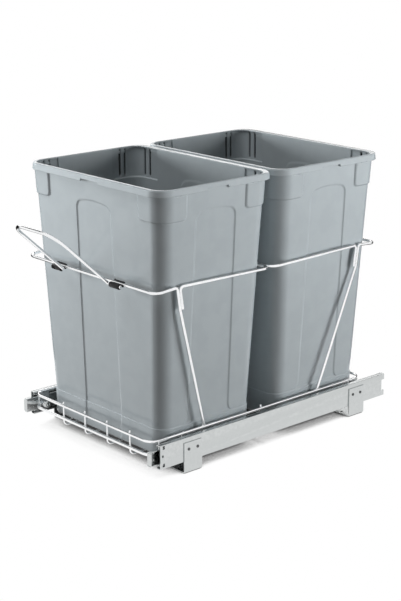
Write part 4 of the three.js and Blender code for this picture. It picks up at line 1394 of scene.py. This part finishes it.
# ---------- handle ----------
@dataclass
class FoldingHandle:
    """The bail handle and the two clips that hang it on the front hoop.

    The pivot and the hoop wire are given by Y and Z, the tilt is from the upright, the slope is that of the
    line from the hoop wire to the pivot, and a clip's arcs begin and end at its end angles.
    """

    half_width: float = 62.0
    reach: float = 146.0
    wire: float = 5.5
    wire_sides: int = 20
    bend: float = 35.0
    foot_bend: float = 5.0
    bend_steps: int = 14
    out: float = 94.0
    tilt: float = 48.0
    pivot: Pair = (-227.459, 320.003)
    hoop: Pair = (-220.04, 323.0)
    slope: float = 22.0
    clip_from: float = 67.5
    clip_length: float = 25.0
    clip_wall: float = 1.9
    clip_radius: float = 4.0
    clip_ends: Pair = (85.0, 285.0)
    clip_steps: tuple[int, int] = (26, 28)
    clip_edge: float = 0.55
    clip_sides: int = 24

    def bail(self) -> Surface:
        """The handle: a flat bent wire turned down about the pivot.

        Returns:
            A wire along (y, z) = pivot + h (-sin tilt, cos tilt), where h is the height in the flat.
        """
        flat = [(self.out, 0, 0), (self.half_width, 0, 0), (self.half_width, 0, self.reach)]
        bends = [self.foot_bend, self.bend, self.bend, self.foot_bend]
        x, _, height = bent_line(mirrored(flat), bends, self.bend_steps).T
        tilt = np.radians(self.tilt)
        (pivot_y, pivot_z), guide = self.pivot, (0, np.cos(tilt), np.sin(tilt))
        line = np.stack([x, pivot_y - height * np.sin(tilt), pivot_z + height * np.cos(tilt)], 1)
        return round_wire(line, self.wire, sides=self.wire_sides, guide=guide)

    def clip(self, sign: int) -> Surface:
        """An S-shaped strip across the hoop wire and the handle's foot.

        Args:
            sign: of X.
        Returns:
            A rounded section carried along two arcs of the same radius that turn opposite ways.
        """
        first = np.radians(np.linspace(self.clip_ends[0], self.slope - 180, self.clip_steps[0]))
        second = np.radians(np.linspace(self.slope, self.clip_ends[1], self.clip_steps[1]))[1:]
        radial = [np.stack([np.cos(a), np.sin(a)], 1) for a in (first, second)]
        centres = (np.array(self.hoop), np.array(self.pivot))
        line = np.vstack([centre + self.clip_radius * way for centre, way in zip(centres, radial)])
        across = np.vstack([radial[0], -radial[1]])
        a = full_turn(self.clip_sides)
        half_length, half_wall, edge = self.clip_length / 2, self.clip_wall / 2, self.clip_edge
        corner_x = np.sign(np.cos(a)) * (half_length - edge) + edge * np.cos(a)
        corner_t = np.sign(np.sin(a)) * (half_wall - edge) + edge * np.sin(a)
        x = sign * (self.clip_from + half_length + corner_x)
        yz = line[:, None] + across[:, None] * corner_t[None, :, None]
        return skin(np.concatenate([np.broadcast_to(x[None, :, None], (*yz.shape[:2], 1)), yz], 2))

    def build(self) -> None:
        """Builds the handle and its clips and dresses them."""
        make("handle_wire", self.bail(), CHROME, "handle", "bail_handle")
        for side in Side:
            hanger = self.clip(side.value)
            make(side.named("hanger"), hanger, CLIP_PLASTIC, "basket", side.named("handle_clip"))


# ---------- slides and brackets ----------
@dataclass
class BallSlide:
    """One three-part slide with its ball cages, buffer, floor brackets, tabs and fasteners.

    An ease is the radius on a piece's sharp edges, and a corner that of its rolled long corners. A profile is
    (x, radius) pairs.
    """

    side: Side
    rail_ease: float = 0.22
    cabinet_corner: float = 1.6
    inner_corner: float = 1.2
    buffer_ease: float = 1.6
    bracket_ease: float = 0.35
    tab_ease: float = 0.3
    rivet_level: float = 42.4
    rivets: tuple[tuple[End, float], ...] = ((End.FRONT, -148.54), (End.REAR, 259.96))
    rivet_half_spacing: float = 10.0
    rivet_shank: tuple[Pair, ...] = (
        (182.8, 0.4), (182.8, 1.45), (182.95, 1.6), (186.3, 1.6), (186.3, 2.6), (186.4, 2.7),
    )
    dome_from: float = 186.55
    dome_rise: float = 0.75
    dome_tip: Pair = (187.3, 0.15)
    dome_steps: int = 6
    bolts: tuple[tuple[End, float], ...] = ((End.FRONT, -197.54), (End.REAR, 262.36))
    bolt_level: float = 36.0
    bolt_flats: float = 9.006
    bolt_head: tuple[Pair, ...] = (
        (172.8, 4.0), (172.8, 5.0), (173.1, 5.2), (175.5, 5.2), (176.3, 4.6), (176.4, 4.2), (176.4, 1.0),
    )
    bolt_tip: tuple[Pair, ...] = ((162.0, 0.5), (162.0, 2.2), (162.7, 2.9))
    bolt_neck: tuple[Pair, ...] = ((173.6, 2.9), (173.6, 0.5))
    thread_from: float = 163.2
    thread_step: float = 0.5
    thread_radii: Pair = (2.62, 2.95)
    thread_count: int = 19
    nut_flats: float = 9.35
    nut_flange_from: float = 167.1
    nut_outside: tuple[Pair, ...] = (
        (163.0, 4.6), (163.6, 5.3), (167.0, 5.4), (167.3, 6.0), (168.2, 6.2), (168.9, 6.15), (169.0, 6.0),
    )
    nut_bore: tuple[Pair, ...] = ((169.0, 3.6), (168.6, 3.3), (163.4, 3.3), (163.0, 3.6))

    def rivet(self, y: float) -> Surface:
        """A rivet: a shank and a domed head over the bracket.

        Args:
            y: place of the rivet.
        Returns:
            The turned piece, whose head is (x + h sin c, r cos c) over a quarter turn.
        """
        head_radius = self.rivet_shank[-1][1]
        quarter = quarter_turn(self.dome_steps)[:-1]
        dome = [(self.dome_from + self.dome_rise * np.sin(c), head_radius * np.cos(c)) for c in quarter]
        spindle = Spindle(y, self.rivet_level, self.side.value)
        return spindle.turned((*self.rivet_shank, *dome, self.dome_tip))

    def bolt(self, y: float) -> Surface:
        """A bolt: a six-sided head, and a shank whose thread is a zigzag of two radii.

        Args:
            y: place of the bolt.
        Returns:
            The head and the shank as one surface.
        """
        spindle = Spindle(y, self.bolt_level, self.side.value)
        root_and_crest = self.thread_radii
        thread = [
            (self.thread_from + self.thread_step * k, root_and_crest[k % 2]) for k in range(self.thread_count)
        ]
        shank = spindle.turned((*self.bolt_tip, *thread, *self.bolt_neck))
        return joined([spindle.hexagonal(self.bolt_head, self.bolt_flats), shank])

    def nut(self, y: float) -> Surface:
        """A flange nut: a six-sided ring and a coned flange, with the thread hole through both.

        Args:
            y: place of the nut.
        Returns:
            Rings out over the nut and back through its bore, the last joined to the first.
        """
        angle = full_turn(HEXAGON_SIDES)[None]
        x, limit = columns(self.nut_outside)
        flats = np.minimum(limit, hexagon(self.nut_flats, angle))
        radius = np.where(x < self.nut_flange_from, flats, limit)
        bore_x, bore_radius = columns(self.nut_bore)
        x, radius = np.vstack([x, bore_x]), np.vstack([radius, bore_radius + 0 * angle])
        return skin(Spindle(y, self.bolt_level, self.side.value).rings(x, radius, angle), looped=True)

    def _press(
        self, part: str, piece: str, finish: Finish, body: str, ease: float, corner: float = 0
    ) -> None:
        """Rounds a copy of one of this side's solids and dresses it.

        Args:
            part: name of the solid without its side.
            piece: name of the copy without its side.
            finish: of the piece.
            body: that it moves with.
            ease, corner: radii on its edges and on its long corners.
        """
        node = self.side.named(part)
        dress(Pressing(self.side.named(piece), node, ease, corner).piece, finish, body, node)

    def build(self) -> None:
        """Builds everything on one side and dresses it."""
        for part, body, corner in (
            ("cabinet_rail", "base", self.cabinet_corner),
            ("middle_rail", self.side.named("middle"), self.inner_corner),
            ("drawer_rail", "basket", self.inner_corner),
        ):
            self._press(part, f"{part}_pressing", ZINC, body, self.rail_ease, corner)
        for part in ("outer_ball_cage", "inner_ball_cage"):
            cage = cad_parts[self.side.named(part)]
            cage.material_slots[0].material = ZINC.material()
            LOG.info("%s: kept, with a new finish", cage.name)
        self._press("rear_bumper", "buffer", RUBBER, "base", self.buffer_ease)
        for end, y in self.rivets:
            bracket = f"{end.value}_bracket"
            self._press(bracket, f"{bracket}_plate", ZINC, "base", self.bracket_ease)
            for number, way in ((1, -1), (2, 1)):
                rivet, node = (self.side.named(f"{part}_rivet_{number}") for part in (end.value, bracket))
                make(rivet, self.rivet(y + way * self.rivet_half_spacing), RIVET_STEEL, "base", node)
        for end, y in self.bolts:
            tab, bolt, nut = (f"{end.value}_{part}" for part in ("mounting_tab", "tab_bolt", "tab_nut"))
            self._press(tab, f"{tab}_plate", CHROME, "basket", self.tab_ease)
            make(self.side.named(f"{bolt}_threaded"), self.bolt(y), ZINC, "basket", self.side.named(bolt))
            make(self.side.named(f"{nut}_flanged"), self.nut(y), ZINC, "basket", self.side.named(nut))


# ---------- studio ----------
def aim_at(thing: bpy.types.Object, place: Point, aim: Point) -> None:
    """Puts a lamp or a camera at a place, its -Z towards the aim and its Y up."""
    thing.location = place
    thing.rotation_euler = (Vector(aim) - Vector(place)).to_track_quat("-Z", "Y").to_euler()


@dataclass(frozen=True)
class SoftLight:
    """A square soft light that gloss doesn't show.

    Place, aim and side are in metres, power in watts and spread in degrees.
    """

    name: str
    place: Point
    aim: Point
    side: float
    power: float
    spread: float = 180.0

    def build(self) -> None:
        """Hangs the light."""
        lamp = bpy.data.lights.new(self.name, "AREA")
        lamp.shape, lamp.size, lamp.energy = "SQUARE", self.side, self.power
        lamp.spread = np.radians(self.spread)
        lamp_object = linked(self.name, lamp)
        lamp_object.visible_glossy = False
        aim_at(lamp_object, self.place, self.aim)


@dataclass
class Studio:
    """A pale floor, a white surround, soft lights and the camera, in metres.

    Shade range is how open to the sky the floor is where it is darkest and where it is white. The dark
    screens stand behind the unit between the first two and the last two of the card levels, with the bright
    strip between them, and each reaches its sweep, in degrees, to both sides of the camera's way.
    """

    camera_place: Point = (1.9273, -1.6904, 0.9736)
    camera_aim: Point = (0.0, 0.03396, 0.2267)
    lens: float = 88.1
    sensor: float = 36.0
    far_clip: float = 50.0
    floor_half: float = 8.0
    floor_level: float = -0.0006
    floor_points: int = 5
    floor_paint: float = 0.1
    shade_reach: float = 0.16
    shade_samples: int = 16
    shade_range: Pair = (0.05, 0.48)
    floor_glow: Pair = (0.012, 1.0)
    fill: float = 0.02
    card_radius: float = 2.3
    card_levels: tuple[float, ...] = (0.0, 0.85, 1.7, 3.0)
    card_points: int = 25
    card_tone: float = 0.02
    card_sweep: float = 74.0
    strip_sweep: float = 34.0
    strip_glow: float = 2.2
    sheet_from: float = 0.52
    sheet_level: float = 0.001
    lights: tuple[SoftLight, ...] = (
        SoftLight("left front light", (-1.8, -1.15, 0.54), (0, 0, 0.85), 0.8, 19, 80),
        SoftLight("right rear light", (1.6, 1.45, 0.54), (0, 0, 0.85), 1.1, 14.6, 80),
        SoftLight("top light", (-0.3, -0.8, 2.2), (0, 0, 0.4), 1.2, 23),
        SoftLight("front fill light", (1.6, -1.5, 0.6), (0, 0, 0.25), 1.2, 6),
    )

    def _ray_share(self, board: Board) -> Value:
        """1 for camera, glossy and transmission rays, else 0."""
        rays = board.add("LightPath").outputs
        seen, gloss, glass = (rays[f"Is {kind} Ray"] for kind in ("Camera", "Glossy", "Transmission"))
        return board.math("ADD", board.math("ADD", seen, gloss, clamp=True), glass, clamp=True)

    def build_floor(self) -> None:
        """A plain pale floor, white where it is open to the sky and dark where the unit stands over it."""
        x = np.linspace(-1, 1, self.floor_points) * self.floor_half / MM
        grid = np.stack([*np.meshgrid(x, x), np.full((len(x), len(x)), self.floor_level / MM)], -1)
        floor = build_object("studio_floor", sheet(grid))
        material = bpy.data.materials.new("pale floor")
        board = Board.of(material)
        reach, samples = {"Distance": self.shade_reach}, self.shade_samples
        openness = board.add("AmbientOcclusion", reach, samples=samples).outputs["AO"]
        glow = board.add("Emission", {"Strength": board.ramp(openness, *self.shade_range, *self.floor_glow)})
        paint = board.add("BsdfDiffuse", {"Color": (*[self.floor_paint] * 3, 1)})
        whole = board.add("MixShader", {0: self._ray_share(board), 1: paint.outputs[0], 2: glow.outputs[0]})
        board.add("OutputMaterial", {"Surface": whole.outputs[0]})
        floor.data.materials.append(material)

    def build_surround(self) -> None:
        """White to the camera, to gloss and to glass, and a low grey fill to everything else."""
        world = bpy.data.worlds.new("white surround")
        bpy.context.scene.world = world
        board = Board.of(world)
        fill, white = (
            board.add("Background", {"Color": (1, 1, 1, 1), "Strength": level}) for level in (self.fill, 1.0)
        )
        mix = board.add("MixShader", {0: self._ray_share(board), 1: fill.outputs[0], 2: white.outputs[0]})
        board.add("OutputWorld", {"Surface": mix.outputs[0]})

    def _arc(self, sweep: float, radius: float, level: float) -> np.ndarray:
        """An edge of a card.

        Args:
            sweep: degrees to each side of the camera's way.
            radius: from the unit's middle.
            level: above the floor.
        Returns:
            Points (r cos a, r sin a, level) in millimetres.
        """
        facing = np.arctan2(-self.camera_place[1], -self.camera_place[0])
        angle = facing + np.radians(np.linspace(-sweep, sweep, self.card_points))
        edge = np.stack([radius * np.cos(angle), radius * np.sin(angle), np.full_like(angle, level)], 1)
        return edge / MM

    def build_cards(self) -> None:
        """Dark screens behind the unit, a bright strip and a dark floor sheet, which only gloss shows."""
        dark = bpy.data.materials.new("dark card")
        board = Board.of(dark)
        cloth = board.add("BsdfDiffuse", {"Color": (*[self.card_tone] * 3, 1)})
        board.add("OutputMaterial", {"Surface": cloth.outputs[0]})
        bright = bpy.data.materials.new("bright strip")
        board = Board.of(bright)
        glow = board.add("Emission", {"Strength": self.strip_glow})
        board.add("OutputMaterial", {"Surface": glow.outputs[0]})
        near, far, level = self.sheet_from, self.card_radius, self.sheet_level
        foot, low, high, top = self.card_levels
        for name, paint, sweep, *edges in (
            ("low_dark_screen", dark, self.card_sweep, (far, foot), (far, low)),
            ("high_dark_screen", dark, self.card_sweep, (far, high), (far, top)),
            ("dark_sheet", dark, self.card_sweep, (near, level), (far, level)),
            ("bright_strip", bright, self.strip_sweep, (far, low), (far, high)),
        ):
            card = build_object(name, sheet(np.stack([self._arc(sweep, *edge) for edge in edges])))
            card.data.materials.append(paint)
            card.visible_camera = card.visible_diffuse = False
            card.visible_shadow = card.visible_transmission = False

    def build_camera(self) -> None:
        """The camera at the photograph's viewing angle."""
        camera = bpy.data.cameras.new("camera")
        camera.lens, camera.sensor_width, camera.sensor_fit = self.lens, self.sensor, "AUTO"
        camera.clip_end = self.far_clip
        camera_object = linked("camera", camera)
        aim_at(camera_object, self.camera_place, self.camera_aim)
        bpy.context.scene.camera = camera_object

    def build(self) -> None:
        """Sets up the whole studio."""
        bpy.context.scene.view_settings.view_transform = "Standard"
        self.build_camera()
        self.build_floor()
        self.build_surround()
        self.build_cards()
        for light in self.lights:
            light.build()


def main() -> None:
    """Builds the studio and every sub-assembly in order."""
    logging.basicConfig(level=logging.INFO, format="%(name)s: %(message)s")
    Studio().build()
    WasteBin("front_bin", "front_bin_body", -88.19).build()
    WasteBin("rear_bin", "rear_bin_body", 180.81).build()
    WireBasket().build()
    BinHoops().build()
    FoldingHandle().build()
    for side in Side:
        BallSlide(side).build()


if __name__ == "__main__":
    main()
